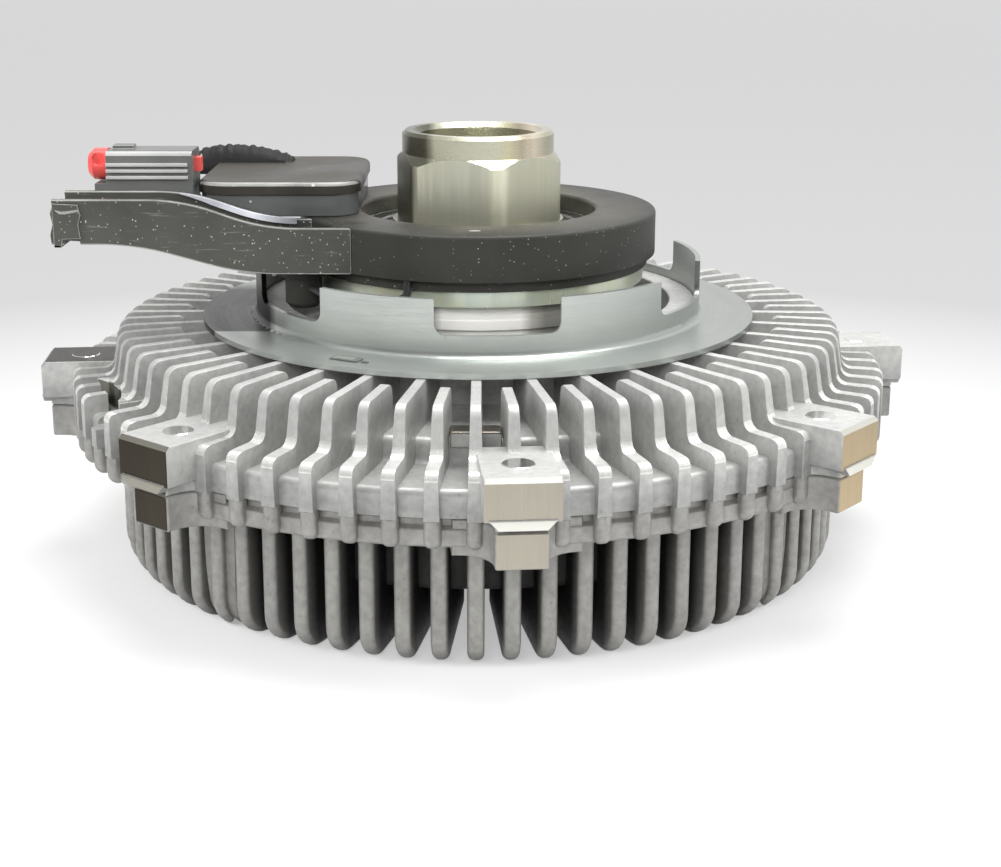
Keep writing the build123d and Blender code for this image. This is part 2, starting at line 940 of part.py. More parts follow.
with BuildPart() as hub_shaft:
    add(
        turned(
            (0, shaft_end_z),
            (rotor_seat_r, shaft_end_z),
            (rotor_seat_r, main_bearing_z),
            (main_bore_r - press_gap, main_bearing_z),
            (main_bore_r - press_gap, main_bearing_top_z),
            (coil_bore_r - press_gap, main_bearing_top_z),
            (coil_bore_r - press_gap, coil_bearing_top_z),
            (hub_flange_r, coil_bearing_top_z),
            (hub_flange_r, hex_z),
            (0, hex_z),
        )
    )
    add(
        turned_ring(
            coil_bore_r - circlip_depth,
            coil_bore_r + overcut,
            shaft_groove_z - seat_gap,
            shaft_groove_z + circlip_t,
        ),
        mode=Mode.SUBTRACT,
    )
    add(hexagon.part)
    add(
        turned(
            (0, hex_z),
            (collar_r, hex_z),
            (collar_r, hub_top_z - collar_chamfer),
            (collar_r - collar_chamfer, hub_top_z),
            (0, hub_top_z),
        )
    )
    add(
        turned(
            (0, hub_top_z - thread_depth - thread_cone_h),
            (thread_minor_r, hub_top_z - thread_depth),
            (thread_minor_r, hub_top_z - thread_chamfer),
            (thread_minor_r + thread_chamfer, hub_top_z),
            (0, hub_top_z),
        ),
        mode=Mode.SUBTRACT,
    )
save(hub_shaft.part, "hub_shaft")

# Rotor with its annular lands, and the lugs that hold the valve's pin
lug_x = valve_eye_l / 2 + fit_gap + valve_lug_t / 2
with BuildPart() as rotor_disc:
    add(
        turned(
            (rotor_seat_r + press_gap, rotor_hub_z),
            (rotor_hub_r, rotor_hub_z),
            (rotor_hub_r, rotor_z),
            (rotor_r, rotor_z),
            (rotor_r, rotor_top_z),
            (rotor_collar_r, rotor_top_z),
            (rotor_collar_r, main_bearing_z),
            (rotor_seat_r + press_gap, main_bearing_z),
        )
    )
    for index in range(land_count + 1):
        land_r = first_land_r + land_pitch * index
        add(turned_ring(land_r - land_t / 2, land_r + land_t / 2, rotor_top_z, chamber_z - land_gap))
    with BuildSketch(Plane.XY.offset(rotor_top_z)):
        with Locations((-lug_x, -valve_pin_circle_r), (lug_x, -valve_pin_circle_r)):
            Rectangle(valve_lug_t, valve_lug_w)
    extrude(amount=valve_pin_z + valve_pin_r + valve_lug_over - rotor_top_z)
    with Locations((0, -valve_pin_circle_r, valve_pin_z)):
        Cylinder(
            valve_pin_r + press_gap,
            2 * lug_x + valve_lug_t,
            rotation=(0, 90, 0),
            mode=Mode.SUBTRACT,
        )
    with BuildSketch(Plane.XY.offset(rotor_z)):
        with Locations((0, port_circle_r)):
            Circle(port_r)
    extrude(amount=rotor_web_t, mode=Mode.SUBTRACT)
save(rotor_disc.part, "rotor_disc")

# Plate that closes the oil reservoir under the rotor
reservoir_plate = turned(
    (rotor_seat_r + seat_gap, reservoir_z),
    (reservoir_floor_r, reservoir_z),
    (reservoir_r - reservoir_rim_w, rotor_z - reservoir_t),
    (reservoir_r, rotor_z - reservoir_t),
    (reservoir_r, rotor_z),
    (reservoir_r - reservoir_rim_w - reservoir_t, rotor_z),
    (reservoir_floor_r - reservoir_t / 2, rotor_hub_z),
    (rotor_seat_r + seat_gap, rotor_hub_z),
)
save(reservoir_plate, "reservoir_plate")

# Nut that clamps rotor and plate against the main bearing
with BuildPart() as rotor_nut:
    with BuildSketch(Plane.XY.offset(nut_z)):
        RegularPolygon(nut_af / 2, 6, major_radius=False)
        Circle(rotor_seat_r + seat_gap, mode=Mode.SUBTRACT)
    extrude(amount=nut_h)
save(rotor_nut.part, "rotor_nut")

# Valve: a tilting armature ring with its eye, pin and port pad
with BuildPart() as valve_pin:
    with Locations((0, -valve_pin_circle_r, valve_pin_z)):
        Cylinder(valve_pin_r, 2 * lug_x + valve_lug_t, rotation=(0, 90, 0))
save(valve_pin.part, "valve_pin")

with BuildPart() as valve_armature:
    add(turned_ring(valve_bore_r, valve_r, valve_z, valve_z + valve_t))
    with BuildSketch(Plane.XY.offset(valve_z)):
        with Locations((0, -(valve_r + valve_pin_circle_r) / 2)):
            Rectangle(valve_eye_l, valve_pin_circle_r - valve_r + 2 * overcut)
    extrude(amount=valve_t)
    with Locations((0, -valve_pin_circle_r, valve_pin_z)):
        Cylinder(valve_pin_r + valve_eye_t, valve_eye_l, rotation=(0, 90, 0))
        Cylinder(
            valve_pin_r + running_gap, valve_eye_l, rotation=(0, 90, 0), mode=Mode.SUBTRACT
        )
save(valve_armature.part, "valve_armature")

with BuildPart() as valve_pad:
    with BuildSketch(Plane.XY.offset(rotor_top_z + seat_gap)):
        with Locations((0, port_circle_r)):
            Circle(valve_pad_r)
    extrude(amount=valve_rise - seat_gap)
save(valve_pad.part, "valve_pad")

# Steel cup of the coil, open towards the neck
coil_core = turned(
    (coil_outer_r - core_lip_w, core_z),
    (core_inner_r, core_z),
    (core_inner_r, core_top_z - core_web_t),
    (core_slot_r, core_top_z - core_web_t),
    (core_slot_r, core_z),
    (core_r, core_z),
    (core_r, core_top_z),
    (core_inner_r, core_top_z),
    (core_inner_r, coil_bearing_top_z),
    (core_bore_r, coil_bearing_top_z),
    (core_bore_r, coil_bearing_z),
    (coil_outer_r - core_lip_w, coil_bearing_z),
)
save(coil_core, "coil_core")

# Bobbin and winding
bobbin_in_r = core_inner_r + fit_gap
bobbin_out_r = core_slot_r - fit_gap
bobbin_low_z = core_z + fit_gap
bobbin_high_z = core_top_z - core_web_t - seat_gap
coil_bobbin = turned(
    (bobbin_in_r, bobbin_low_z),
    (bobbin_out_r, bobbin_low_z),
    (bobbin_out_r, bobbin_low_z + bobbin_wall_t),
    (bobbin_in_r + bobbin_wall_t, bobbin_low_z + bobbin_wall_t),
    (bobbin_in_r + bobbin_wall_t, bobbin_high_z - bobbin_wall_t),
    (bobbin_out_r, bobbin_high_z - bobbin_wall_t),
    (bobbin_out_r, bobbin_high_z),
    (bobbin_in_r, bobbin_high_z),
)
save(coil_bobbin, "coil_bobbin")
coil_winding = turned_ring(
    bobbin_in_r + bobbin_wall_t + seat_gap,
    bobbin_out_r - fit_gap,
    bobbin_low_z + bobbin_wall_t + seat_gap,
    bobbin_high_z - bobbin_wall_t - seat_gap,
)
save(coil_winding, "coil_winding")

# Moulded ring over the cup
stator_ring = turned(
    (ring_bore_r, coil_bearing_top_z + seat_gap),
    (ring_bore_r, ring_top_z - ring_chamfer),
    (ring_bore_r + ring_chamfer, ring_top_z),
    (ring_r - ring_chamfer, ring_top_z),
    (ring_r, ring_top_z - ring_chamfer),
    (ring_r, ring_z),
    (core_r + ring_lip_t, ring_z),
    (core_r + ring_lip_t, ring_lip_z),
    (core_r + press_gap, ring_lip_z),
    (core_r + press_gap, core_top_z + press_gap),
    (core_inner_r + press_gap, core_top_z + press_gap),
    (core_inner_r + press_gap, coil_bearing_top_z + seat_gap),
)
save(stator_ring, "stator_ring")

# Speed sensor that hangs inside the target wheel, and its lead
with BuildPart() as speed_sensor:
    with BuildSketch(Plane.XY.offset(ring_z - seat_gap)):
        with Locations(at_angle(sensor_circle_r, sensor_angle)):
            Circle(sensor_r)
    extrude(amount=-(sensor_h - seat_gap))
    chamfer(speed_sensor.edges().group_by(Axis.Z)[0], sensor_edge)
    with BuildSketch(Plane.XY.offset(ring_z - seat_gap)):
        with Locations(at_angle(sensor_circle_r, sensor_angle)):
            Circle(sensor_foot_r)
    extrude(amount=-sensor_foot_h)
save(speed_sensor.part, "speed_sensor")

lead_z = ring_z - lead_drop
lead_top_r = core_r + ring_lip_t + lead_r + seat_gap
with BuildPart() as sensor_lead:
    with BuildLine() as lead_route:
        FilletPolyline(
            at_angle(sensor_circle_r + lead_start_out, sensor_angle + lead_start_turn, lead_z),
            at_angle(sensor_circle_r + lead_mid_out, sensor_angle + lead_mid_turn, lead_z - lead_sag),
            at_angle(lead_top_r, sensor_angle + lead_end_turn, lead_z),
            at_angle(lead_top_r, sensor_angle + lead_end_turn, ring_z - seat_gap),
            radius=[lead_bend_r, lead_top_bend_r],
        )
    with BuildSketch(Plane(origin=lead_route.line @ 0, z_dir=lead_route.line % 0)):
        Circle(lead_r)
    sweep()
save(sensor_lead.part, "sensor_lead")

# Tether arm, a channel that rises away from the ring
root_x = -ring_bore_r / 2
top_start_x, top_end_x = arm_top_bend_x
floor_start_x, floor_end_x = arm_floor_bend_x


def arm_side(low_offset, high_offset, start_x, end_x):
    """Side outline of a strip that follows the arm's bend, in X and Z."""
    return FilletPolyline(
        (start_x, ring_top_z + high_offset),
        (top_start_x, ring_top_z + high_offset),
        (top_end_x, arm_top_z + high_offset),
        (end_x, arm_top_z + high_offset),
        (end_x, arm_floor_z + low_offset),
        (floor_end_x, arm_floor_z + low_offset),
        (floor_start_x, ring_z + low_offset),
        (start_x, ring_z + low_offset),
        radius=[0, arm_top_bend_r, arm_top_bend_r, 0, 0, arm_floor_bend_r, arm_floor_bend_r, 0],
        close=True,
    )


with BuildPart() as tether_arm:
    with BuildSketch(Plane.XZ.offset(-arm_front_y)):
        with BuildLine():
            arm_side(0, 0, root_x, arm_end_x)
        make_face()
    extrude(amount=-arm_w)
    # Shelf that the connector is clipped to
    with BuildSketch(Plane.XY.offset(shelf_z - shelf_t)):
        with Locations(((connector_left_x + connector_right_x) / 2, arm_back_y - arm_wall_t / 2)):
            Rectangle(
                connector_right_x - connector_left_x,
                connector_d + connector_front_y - arm_back_y + arm_wall_t / 2,
                align=(Align.CENTER, Align.MIN),
            )
    extrude(amount=shelf_t)
    with BuildSketch(Plane.XZ.offset(-arm_front_y - arm_wall_t)):
        with BuildLine():
            arm_side(arm_floor_t, arm_floor_t, root_x, arm_end_x - overcut)
        make_face()
    extrude(amount=-(arm_w - 2 * arm_wall_t), mode=Mode.SUBTRACT)
    with Locations((0, 0, ring_z - overcut)):
        Cylinder(
            ring_r + seat_gap,
            ring_h + arm_rise,
            align=(Align.CENTER, Align.CENTER, Align.MIN),
            mode=Mode.SUBTRACT,
        )
save(tether_arm.part, "tether_arm")

# Harness that the channel holds all the way
with BuildPart() as arm_harness:
    with BuildSketch(Plane.XZ.offset(-(arm_front_y + (arm_w - harness_w) / 2))):
        with BuildLine():
            arm_side(
                arm_floor_t + seat_gap,
                harness_t - ring_h + arm_floor_t,
                root_x,
                arm_end_x + harness_end_gap,
            )
        make_face()
    extrude(amount=-harness_w)
    with Locations((0, 0, ring_z - overcut)):
        Cylinder(
            ring_r + fit_gap,
            ring_h + arm_rise,
            align=(Align.CENTER, Align.CENTER, Align.MIN),
            mode=Mode.SUBTRACT,
        )
save(arm_harness.part, "arm_harness")

# Clip that closes the channel near its end
with BuildPart() as arm_clip:
    with BuildSketch(Plane.YZ.offset(clip_x - clip_w / 2)):
        with Locations(((arm_front_y + arm_back_y) / 2, (arm_floor_z + arm_top_z) / 2)):
            Rectangle(arm_w + 2 * clip_t, arm_top_z - arm_floor_z + 2 * clip_t)
            Rectangle(
                arm_w + 2 * seat_gap, arm_top_z - arm_floor_z + 2 * seat_gap, mode=Mode.SUBTRACT
            )
    extrude(amount=clip_w)
save(arm_clip.part, "arm_clip")


def box_plan(grow=0.0):
    """Rounded plan of the junction box, grown or shrunk all round."""
    with BuildSketch() as plan:
        with Locations(((box_left_x + box_right_x) / 2, (box_front_y + box_back_y) / 2)):
            RectangleRounded(
                box_right_x - box_left_x + 2 * grow,
                box_back_y - box_front_y + 2 * grow,
                box_corner_r + grow,
            )
    return plan.sketch


# Junction box on the ring, its board and its lid
box_z = ring_top_z + seat_gap
lid_z = box_z + box_base_h
with BuildPart() as connector_box:
    with BuildSketch(Plane.XY.offset(box_z)):
        add(box_plan())
    extrude(amount=box_base_h)
    with BuildSketch(Plane.XY.offset(box_z + box_floor_t)):
        add(box_plan(-box_wall_t))
    extrude(amount=box_base_h, mode=Mode.SUBTRACT)
save(connector_box.part, "connector_box")

with BuildPart() as circuit_board:
    with BuildSketch(Plane.XY.offset(box_z + box_floor_t + seat_gap)):
        add(box_plan(-box_wall_t - fit_gap))
    extrude(amount=board_t)
save(circuit_board.part, "circuit_board")

with BuildPart() as gland:
    with Locations((gland_left_x, gland_y, lid_z + gland_up)):
        Cylinder(
            gland_r,
            gland_right_x - gland_left_x,
            rotation=(0, 90, 0),
            align=(Align.CENTER, Align.CENTER, Align.MIN),
        )
    fillet(gland.edges(), gland_edge_r)
    split(bisect_by=Plane.XY.offset(lid_z), keep=Keep.TOP)

with BuildPart() as box_lid:
    with BuildSketch(Plane.XY.offset(lid_z)):
        add(box_plan(lid_over))
    extrude(amount=lid_h)
    fillet(box_lid.edges().group_by(Axis.Z)[-1], lid_edge_r)
    # Gland, cut off flush with the lid's seam
    add(gland.part)
save(box_lid.part, "box_lid")

# Short cable from the gland to the connector's back
connector_back_y = connector_front_y + connector_d
with BuildPart() as pigtail:
    with BuildLine() as pigtail_route:
        FilletPolyline(
            (gland_left_x - seat_gap, gland_y, lid_z + pigtail_up),
            (pigtail_x, gland_y, lid_z + pigtail_up),
            (pigtail_x, connector_back_y + connector_rib_h + seat_gap, lid_z + pigtail_up),
            radius=pigtail_bend_r,
        )
    with BuildSketch(Plane(origin=pigtail_route.line @ 0, z_dir=pigtail_route.line % 0)):
        Circle(pigtail_r)
    sweep()
save(pigtail.part, "pigtail")

# Connector with its ribs, and the red lock that slides through it
connector_mid_y = connector_front_y + connector_d / 2
lock_z = shelf_z + lock_bar_up
head_low_z = lock_z - lock_head_h / 2
with BuildPart() as connector_body:
    with BuildSketch(Plane.YZ.offset(connector_left_x)):
        with Locations((connector_mid_y, shelf_z + seat_gap + connector_h / 2)):
            RectangleRounded(connector_d, connector_h, connector_edge_r)
    extrude(amount=connector_right_x - connector_left_x)
    for rib_up in connector_ribs_up:
        with Locations(((connector_left_x + connector_right_x) / 2, connector_mid_y, shelf_z + rib_up)):
            Box(
                connector_right_x - connector_left_x - 2 * connector_rib_inset,
                connector_d + 2 * connector_rib_h,
                connector_rib_t,
            )
    # Latch on top
    with Locations((latch_left_x, connector_mid_y, shelf_z + seat_gap + connector_h)):
        Box(latch_l, latch_w, latch_h * 2, align=(Align.MIN, Align.CENTER, Align.CENTER))
    # Step that the lock's head stands over, and the lock's passage
    with Locations((connector_left_x + connector_step, connector_mid_y, head_low_z - fit_gap)):
        Box(
            connector_step + overcut,
            connector_d + 2 * (connector_rib_h + overcut),
            connector_h,
            align=(Align.MAX, Align.CENTER, Align.MIN),
            mode=Mode.SUBTRACT,
        )
    with Locations((connector_left_x - overcut, connector_mid_y, lock_z)):
        Box(
            connector_right_x - connector_left_x + 2 * overcut,
            lock_bar_w + fit_gap,
            lock_bar_h + fit_gap,
            align=(Align.MIN, Align.CENTER, Align.CENTER),
            mode=Mode.SUBTRACT,
        )
save(connector_body.part, "connector_body")

with BuildPart() as connector_lock:
    head_x = connector_left_x + connector_step - fit_gap - lock_head_l / 2
    with BuildSketch(Plane.YZ.offset(head_x - lock_head_l / 2)):
        with Locations((connector_mid_y, lock_z)):
            RectangleRounded(lock_head_w, lock_head_h, lock_head_r)
    extrude(amount=lock_head_l)
    chamfer(connector_lock.edges().group_by(Axis.X)[0], lock_head_edge)
    bar_right_x = connector_right_x + lock_tail_l
    with Locations((head_x, connector_mid_y, lock_z)):
        Box(
            bar_right_x - head_x,
            lock_bar_w,
            lock_bar_h,
            align=(Align.MIN, Align.CENTER, Align.CENTER),
        )
save(connector_lock.part, "connector_lock")
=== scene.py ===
"""Dresses a viscous fan clutch: finned castings, speed wheel, hub, coil ring, arm and connector."""

import logging
import math
from collections.abc import Callable
from dataclasses import dataclass, field
from enum import Enum, IntEnum

import bmesh
import bpy
from mathutils import Matrix, Vector

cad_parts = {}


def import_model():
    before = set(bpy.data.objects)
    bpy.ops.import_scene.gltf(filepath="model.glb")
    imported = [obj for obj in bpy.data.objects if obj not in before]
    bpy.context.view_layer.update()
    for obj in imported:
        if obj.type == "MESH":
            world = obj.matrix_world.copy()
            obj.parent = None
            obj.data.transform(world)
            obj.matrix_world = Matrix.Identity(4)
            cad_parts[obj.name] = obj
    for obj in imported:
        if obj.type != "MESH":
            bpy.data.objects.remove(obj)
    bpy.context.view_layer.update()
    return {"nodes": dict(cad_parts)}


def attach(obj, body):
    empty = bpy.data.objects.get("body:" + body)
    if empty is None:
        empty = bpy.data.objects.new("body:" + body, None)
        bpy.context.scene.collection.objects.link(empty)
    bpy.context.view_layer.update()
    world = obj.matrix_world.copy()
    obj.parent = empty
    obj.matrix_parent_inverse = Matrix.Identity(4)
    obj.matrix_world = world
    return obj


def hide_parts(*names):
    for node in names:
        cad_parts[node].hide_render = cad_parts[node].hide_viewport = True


MM = 0.001
LOG = logging.getLogger("fan_clutch")
Pair = tuple[float, float]
Triple = tuple[float, float, float]
Outline = list[Pair]
Colour = Triple
Shape = bmesh.types.BMesh
Socket = bpy.types.NodeSocket

# Angles in degrees: where an edge counts as sharp, and up to where shading runs smoothly over it
SHARP = 60.0
SMOOTH = 32.0
# Gap in millimetres under which two faces count as touching
TOUCH = 0.02
# Distances in millimetres under which points are merged, in new shapes and in copies of CAD nodes
WELD = 1e-3
COPY_WELD = 2e-3
# Angle in degrees under which a copy's neighbouring faces are one flat face
FLAT = 0.6
# How far a flat mark reaches down into its face, in millimetres
MARK_ROOT = 0.2
# Share of a side that two neighbouring round corners may use up
CORNER_SHARE = 0.98


class Body(Enum):
    """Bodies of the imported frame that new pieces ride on."""

    HOUSING = "housing"
    SHAFT = "input_shaft"
    STATOR = "stator"
    LOCK = "lock"


class Slot(Enum):
    """Names of the record's material slots; no piece here takes its finish from them."""

    CASTING = "cast_casing"
    SHEET = "plated_sheet"
    TURNED = "turned_steel"
    ZINC = "zinc_yellow"
    CUP = "zinc_cup"
    PLASTIC = "black_plastic"
    CABLE = "cable_rubber"
    CONNECTOR = "connector_black"
    LOCK = "lock_red"


class Cast(IntEnum):
    """Material numbers of a casting's faces."""

    SKIN = 0
    MACHINED = 1
    SPOT = 2
    PAINT = 3
    EDGE = 4
    PAINTED_HIGHLIGHT = 5


class Trim(IntEnum):
    """Material numbers of the other pieces' faces."""

    PLAIN = 0
    SECOND = 1
    TAPE = 2


# Shapes


def spaced(first: float, last: float, steps: int) -> list[float]:
    """Evenly spaced values from the first to the last."""
    return [first + (last - first) * step / steps for step in range(steps + 1)]


def around(radius: float, bearing: float) -> Pair:
    """Point on a circle, by its bearing in degrees from the front towards +X."""
    turn = math.radians(bearing)
    return (radius * math.sin(turn), -radius * math.cos(turn))


def oblong(near: float, far: float, low: float, high: float) -> Outline:
    """Outline of an oblong, by its bounds."""
    return [(near, low), (far, low), (far, high), (near, high)]


def oval(middle: Pair, long: float, short: float, steps: int = 24) -> Outline:
    """Oval outline round a point, by its half axes."""
    turns = spaced(0.0, math.tau, steps)[:-1]
    return [(middle[0] + short * math.cos(t), middle[1] + long * math.sin(t)) for t in turns]


def rounded(points: Outline, radii: list[float], steps: int = 4) -> Outline:
    """Rounds the corners of a closed outline.

    Args:
        points: The outline's corners in order.
        radii: One radius per corner, 0 for a sharp one.
        steps: Stretches in each round corner.

    Returns:
        The outline with arcs in place of its round corners.
    """
    result: Outline = []
    for index, (corner, radius) in enumerate(zip(points, radii)):
        here = Vector(corner)
        if radius <= 0:
            result.append(tuple(here))
            continue
        after = (index + 1) % len(points)
        back, ahead = Vector(points[index - 1]) - here, Vector(points[after]) - here
        half = back.angle(ahead) / 2
        reach = min(
            radius / math.tan(half),
            back.length * CORNER_SHARE * radius / (radius + radii[index - 1]),
            ahead.length * CORNER_SHARE * radius / (radius + radii[after]),
        )
        first, last = here + back.normalized() * reach, here + ahead.normalized() * reach
        middle = here + (back.normalized() + ahead.normalized()).normalized() * reach / math.cos(half)
        start = math.atan2(first.y - middle.y, first.x - middle.x)
        turn = math.atan2(last.y - middle.y, last.x - middle.x) - start
        turn = (turn + math.pi) % math.tau - math.pi
        arc_r = (first - middle).length
        for angle in spaced(start, start + turn, steps):
            result.append((middle.x + arc_r * math.cos(angle), middle.y + arc_r * math.sin(angle)))
    return result


def turned(outline: Outline, steps: int = 144, closed: bool = True) -> Shape:
    """Spins an outline in radius and height into a solid.

    Args:
        outline: Radius and height of each point.
        steps: Stretches round the axis.
        closed: False where the outline begins and ends on the axis.

    Returns:
        The solid of revolution.
    """
    bm = bmesh.new()
    verts = [bm.verts.new((radius, 0, height)) for radius, height in outline]
    ahead = verts[1:] + verts[:1] if closed else verts[1:]
    edges = [bm.edges.new(pair) for pair in zip(verts, ahead)]
    bmesh.ops.spin(
        bm,
        geom=verts + edges,
        cent=(0, 0, 0),
        axis=(0, 0, 1),
        angle=math.tau,
        steps=steps,
        use_merge=True,
    )
    bmesh.ops.remove_doubles(bm, verts=bm.verts, dist=WELD)
    bmesh.ops.recalc_face_normals(bm, faces=bm.faces)
    return bm


def prism(points: list[Vector], travel: Vector) -> Shape:
    """Extrudes a flat outline into a solid.

    Args:
        points: The outline's corners in space.
        travel: The way and length of the extrusion.

    Returns:
        The closed prism.
    """
    bm = bmesh.new()
    face = bm.faces.new([bm.verts.new(point) for point in points])
    grown = bmesh.ops.extrude_face_region(bm, geom=[face])
    moved = [item for item in grown["geom"] if isinstance(item, bmesh.types.BMVert)]
    bmesh.ops.translate(bm, verts=moved, vec=travel)
    bmesh.ops.recalc_face_normals(bm, faces=bm.faces)
    return bm


def side_prism(outline: Outline, width: float, middle_y: float = 0.0) -> Shape:
    """Prism from an outline in X and Z, as wide as given along Y."""
    low = middle_y - width / 2
    return prism([Vector((x, low, z)) for x, z in outline], Vector((0, width, 0)))


def plan_prism(outline: Outline, low: float, high: float) -> Shape:
    """Prism from an outline in X and Y, between two heights."""
    return prism([Vector((x, y, low)) for x, y in outline], Vector((0, 0, high - low)))


def mark(bm: Shape, number: int, chosen: Callable[[bmesh.types.BMFace], bool] | None = None) -> None:
    """Gives faces a material number.

    Args:
        bm: The shape.
        number: The number.
        chosen: Tells which faces take it, None for all of them.
    """
    for face in bm.faces:
        if chosen is None or chosen(face):
            face.material_index = number


def mark_strips(bm: Shape, width: float, number: int) -> None:
    """Gives faces narrower than a width a material number."""
    mark(bm, number, lambda f: f.calc_area() < width * max(e.calc_length() for e in f.edges))


def sharp_edges(bm: Shape, degrees: float = SHARP) -> list[bmesh.types.BMEdge]:
    """Edges at which two faces meet at more than an angle."""
    limit = math.radians(degrees)
    return [e for e in bm.edges if len(e.link_faces) == 2 and e.calc_face_angle(0) > limit]


def soften(bm: Shape, edges: list[bmesh.types.BMEdge], width: float, segments: int = 2) -> None:
    """Rounds edges.

    Args:
        bm: The shape.
        edges: Its edges that are rounded.
        width: Width of the rounding in millimetres.
        segments: Steps across the rounding.
    """
    if edges:
        bmesh.ops.bevel(
            bm,
            geom=edges,
            offset=width,
            offset_type="OFFSET",
            segments=segments,
            profile=0.5,
            affect="EDGES",
            material=-1,
            clamp_overlap=True,
        )


def joined(*shapes: Shape) -> Shape:
    """Joins shapes.

    Args:
        *shapes: The shapes. All but the first are freed.

    Returns:
        The first shape, which now holds them all.
    """
    mesh = bpy.data.meshes.new("joining")
    for shape in shapes[1:]:
        shape.to_mesh(mesh)
        shapes[0].from_mesh(mesh)
        shape.free()
    bpy.data.meshes.remove(mesh)
    return shapes[0]


def new_object(name: str, data: bpy.types.ID) -> bpy.types.Object:
    """Makes an object and links it to the scene.

    Args:
        name: Its name.
        data: Its mesh, lamp or camera.

    Returns:
        The object.
    """
    item = bpy.data.objects.new(name, data)
    bpy.context.scene.collection.objects.link(item)
    return item


def shape_object(name: str, bm: Shape) -> bpy.types.Object:
    """Makes an object from a shape.

    Args:
        name: Its name.
        bm: The shape. It is left as it is.

    Returns:
        The object.
    """
    mesh = bpy.data.meshes.new(name)
    bm.to_mesh(mesh)
    return new_object(name, mesh)


def carved(shape: Shape, cutter: Shape) -> Shape:
    """Takes a cutter out of a shape.

    Args:
        shape: The solid that is cut. It is freed.
        cutter: The solid that is taken out. It is left as it is.

    Returns:
        The cut solid.
    """
    pair = (shape_object("carved", shape), shape_object("cutter", cutter))
    shape.free()
    cut = pair[0].modifiers.new("cut", "BOOLEAN")
    cut.operation, cut.solver, cut.object = "DIFFERENCE", "EXACT", pair[1]
    result = bmesh.new()
    result.from_object(pair[0], bpy.context.evaluated_depsgraph_get())
    for item in pair:
        mesh = item.data
        bpy.data.objects.remove(item)
        bpy.data.meshes.remove(mesh)
    return result


def ring_of(shape: Shape, count: int, phase: float) -> Shape:
    """Repeats a shape round the axis.

    Args:
        shape: The shape, standing along +X. It is freed.
        count: Number of copies.
        phase: Bearing of the first copy in degrees, counted from the front towards +X.

    Returns:
        All the copies in one mesh.
    """
    result = bmesh.new()
    mesh = bpy.data.meshes.new("repeat")
    turn = Matrix.Rotation(math.tau / count, 4, "Z")
    shape.transform(Matrix.Rotation(math.radians(phase - 90), 4, "Z"))
    for _ in range(count):
        shape.to_mesh(mesh)
        result.from_mesh(mesh)
        shape.transform(turn)
    bpy.data.meshes.remove(mesh)
    shape.free()
    return result


def flat_mark(outline: Outline, height: float, thickness: float, bearing: float, number: int) -> Shape:
    """A thin mark on a level face.

    Args:
        outline: Radius and sideways place of its corners.
        height: Height of the face that it lies on.
        thickness: How far it stands out.
        bearing: Its bearing in degrees, counted from the front towards +X.
        number: Its material number.

    Returns:
        The mark.
    """
    bm = plan_prism(outline, height - MARK_ROOT, height + thickness)
    mark(bm, number)
    return ring_of(bm, 1, bearing)


def merged_copy(node: str, edge: float, segments: int = 2, limit: float = 30.0) -> Shape:
    """Copies a CAD node's mesh, merges it and rounds its sharp edges.

    Args:
        node: Name of the CAD node.
        edge: Width of the rounding in millimetres.
        segments: Steps across the rounding.
        limit: Angle in degrees from which an edge is rounded.

    Returns:
        The copy in millimetres.
    """
    bm = bmesh.new()
    bm.from_mesh(bpy.data.objects[node].data)
    bmesh.ops.scale(bm, vec=(1 / MM,) * 3, verts=bm.verts)
    bmesh.ops.remove_doubles(bm, verts=bm.verts, dist=COPY_WELD)
    bmesh.ops.dissolve_limit(
        bm, angle_limit=math.radians(FLAT), verts=bm.verts, edges=bm.edges, delimit=set()
    )
    soften(bm, sharp_edges(bm, limit), edge, segments)
    return bm


def make_piece(
    name: str,
    bm: Shape,
    body: Body,
    finishes: list["Finish"],
    replaced: tuple[str, ...] = (),
) -> None:
    """Turns a shape in millimetres into a finished piece of the object.

    Args:
        name: Name of the piece.
        bm: The shape. It is freed.
        body: The body that carries the piece.
        finishes: Finishes in the order of the faces' material numbers.
        replaced: CAD nodes that the piece stands for.
    """
    bmesh.ops.scale(bm, vec=(MM,) * 3, verts=bm.verts)
    piece = shape_object(name, bm)
    bm.free()
    mesh = piece.data
    mesh.shade_smooth()
    mesh.set_sharp_from_angle(angle=math.radians(SMOOTH))
    for finish in finishes:
        mesh.materials.append(finish.material())
    weighted = piece.modifiers.new("flat_faces", "WEIGHTED_NORMAL")
    weighted.keep_sharp = True
    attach(piece, body.value)
    if replaced:
        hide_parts(*replaced)
    LOG.info("%s: %d faces on %s", name, len(mesh.polygons), body.value)


def dress_copy(
    name: str,
    node: str,
    edge: float,
    finish: "Finish",
    segments: int = 2,
    limit: float = 30.0,
) -> None:
    """Makes a piece of one finish on the stator from a CAD node.

    Args:
        name: Name of the piece.
        node: Name of the CAD node that it replaces.
        edge: Width of its edges' rounding in millimetres.
        finish: Its finish.
        segments: Steps across the rounding.
        limit: Angle in degrees from which an edge is rounded.
    """
    make_piece(
        name, merged_copy(node, edge, segments, limit), Body.STATOR, [finish], (node,)
    )


# Shader graphs


class Effect(Enum):
    """Shared effects, each a node group that a method of the library builds."""

    MOTTLE = "mottle"
    CAST_SKIN = "cast_skin"
    BRUSHED = "brushed"
    SPECKS = "specks"
    POLAR = "polar_place"


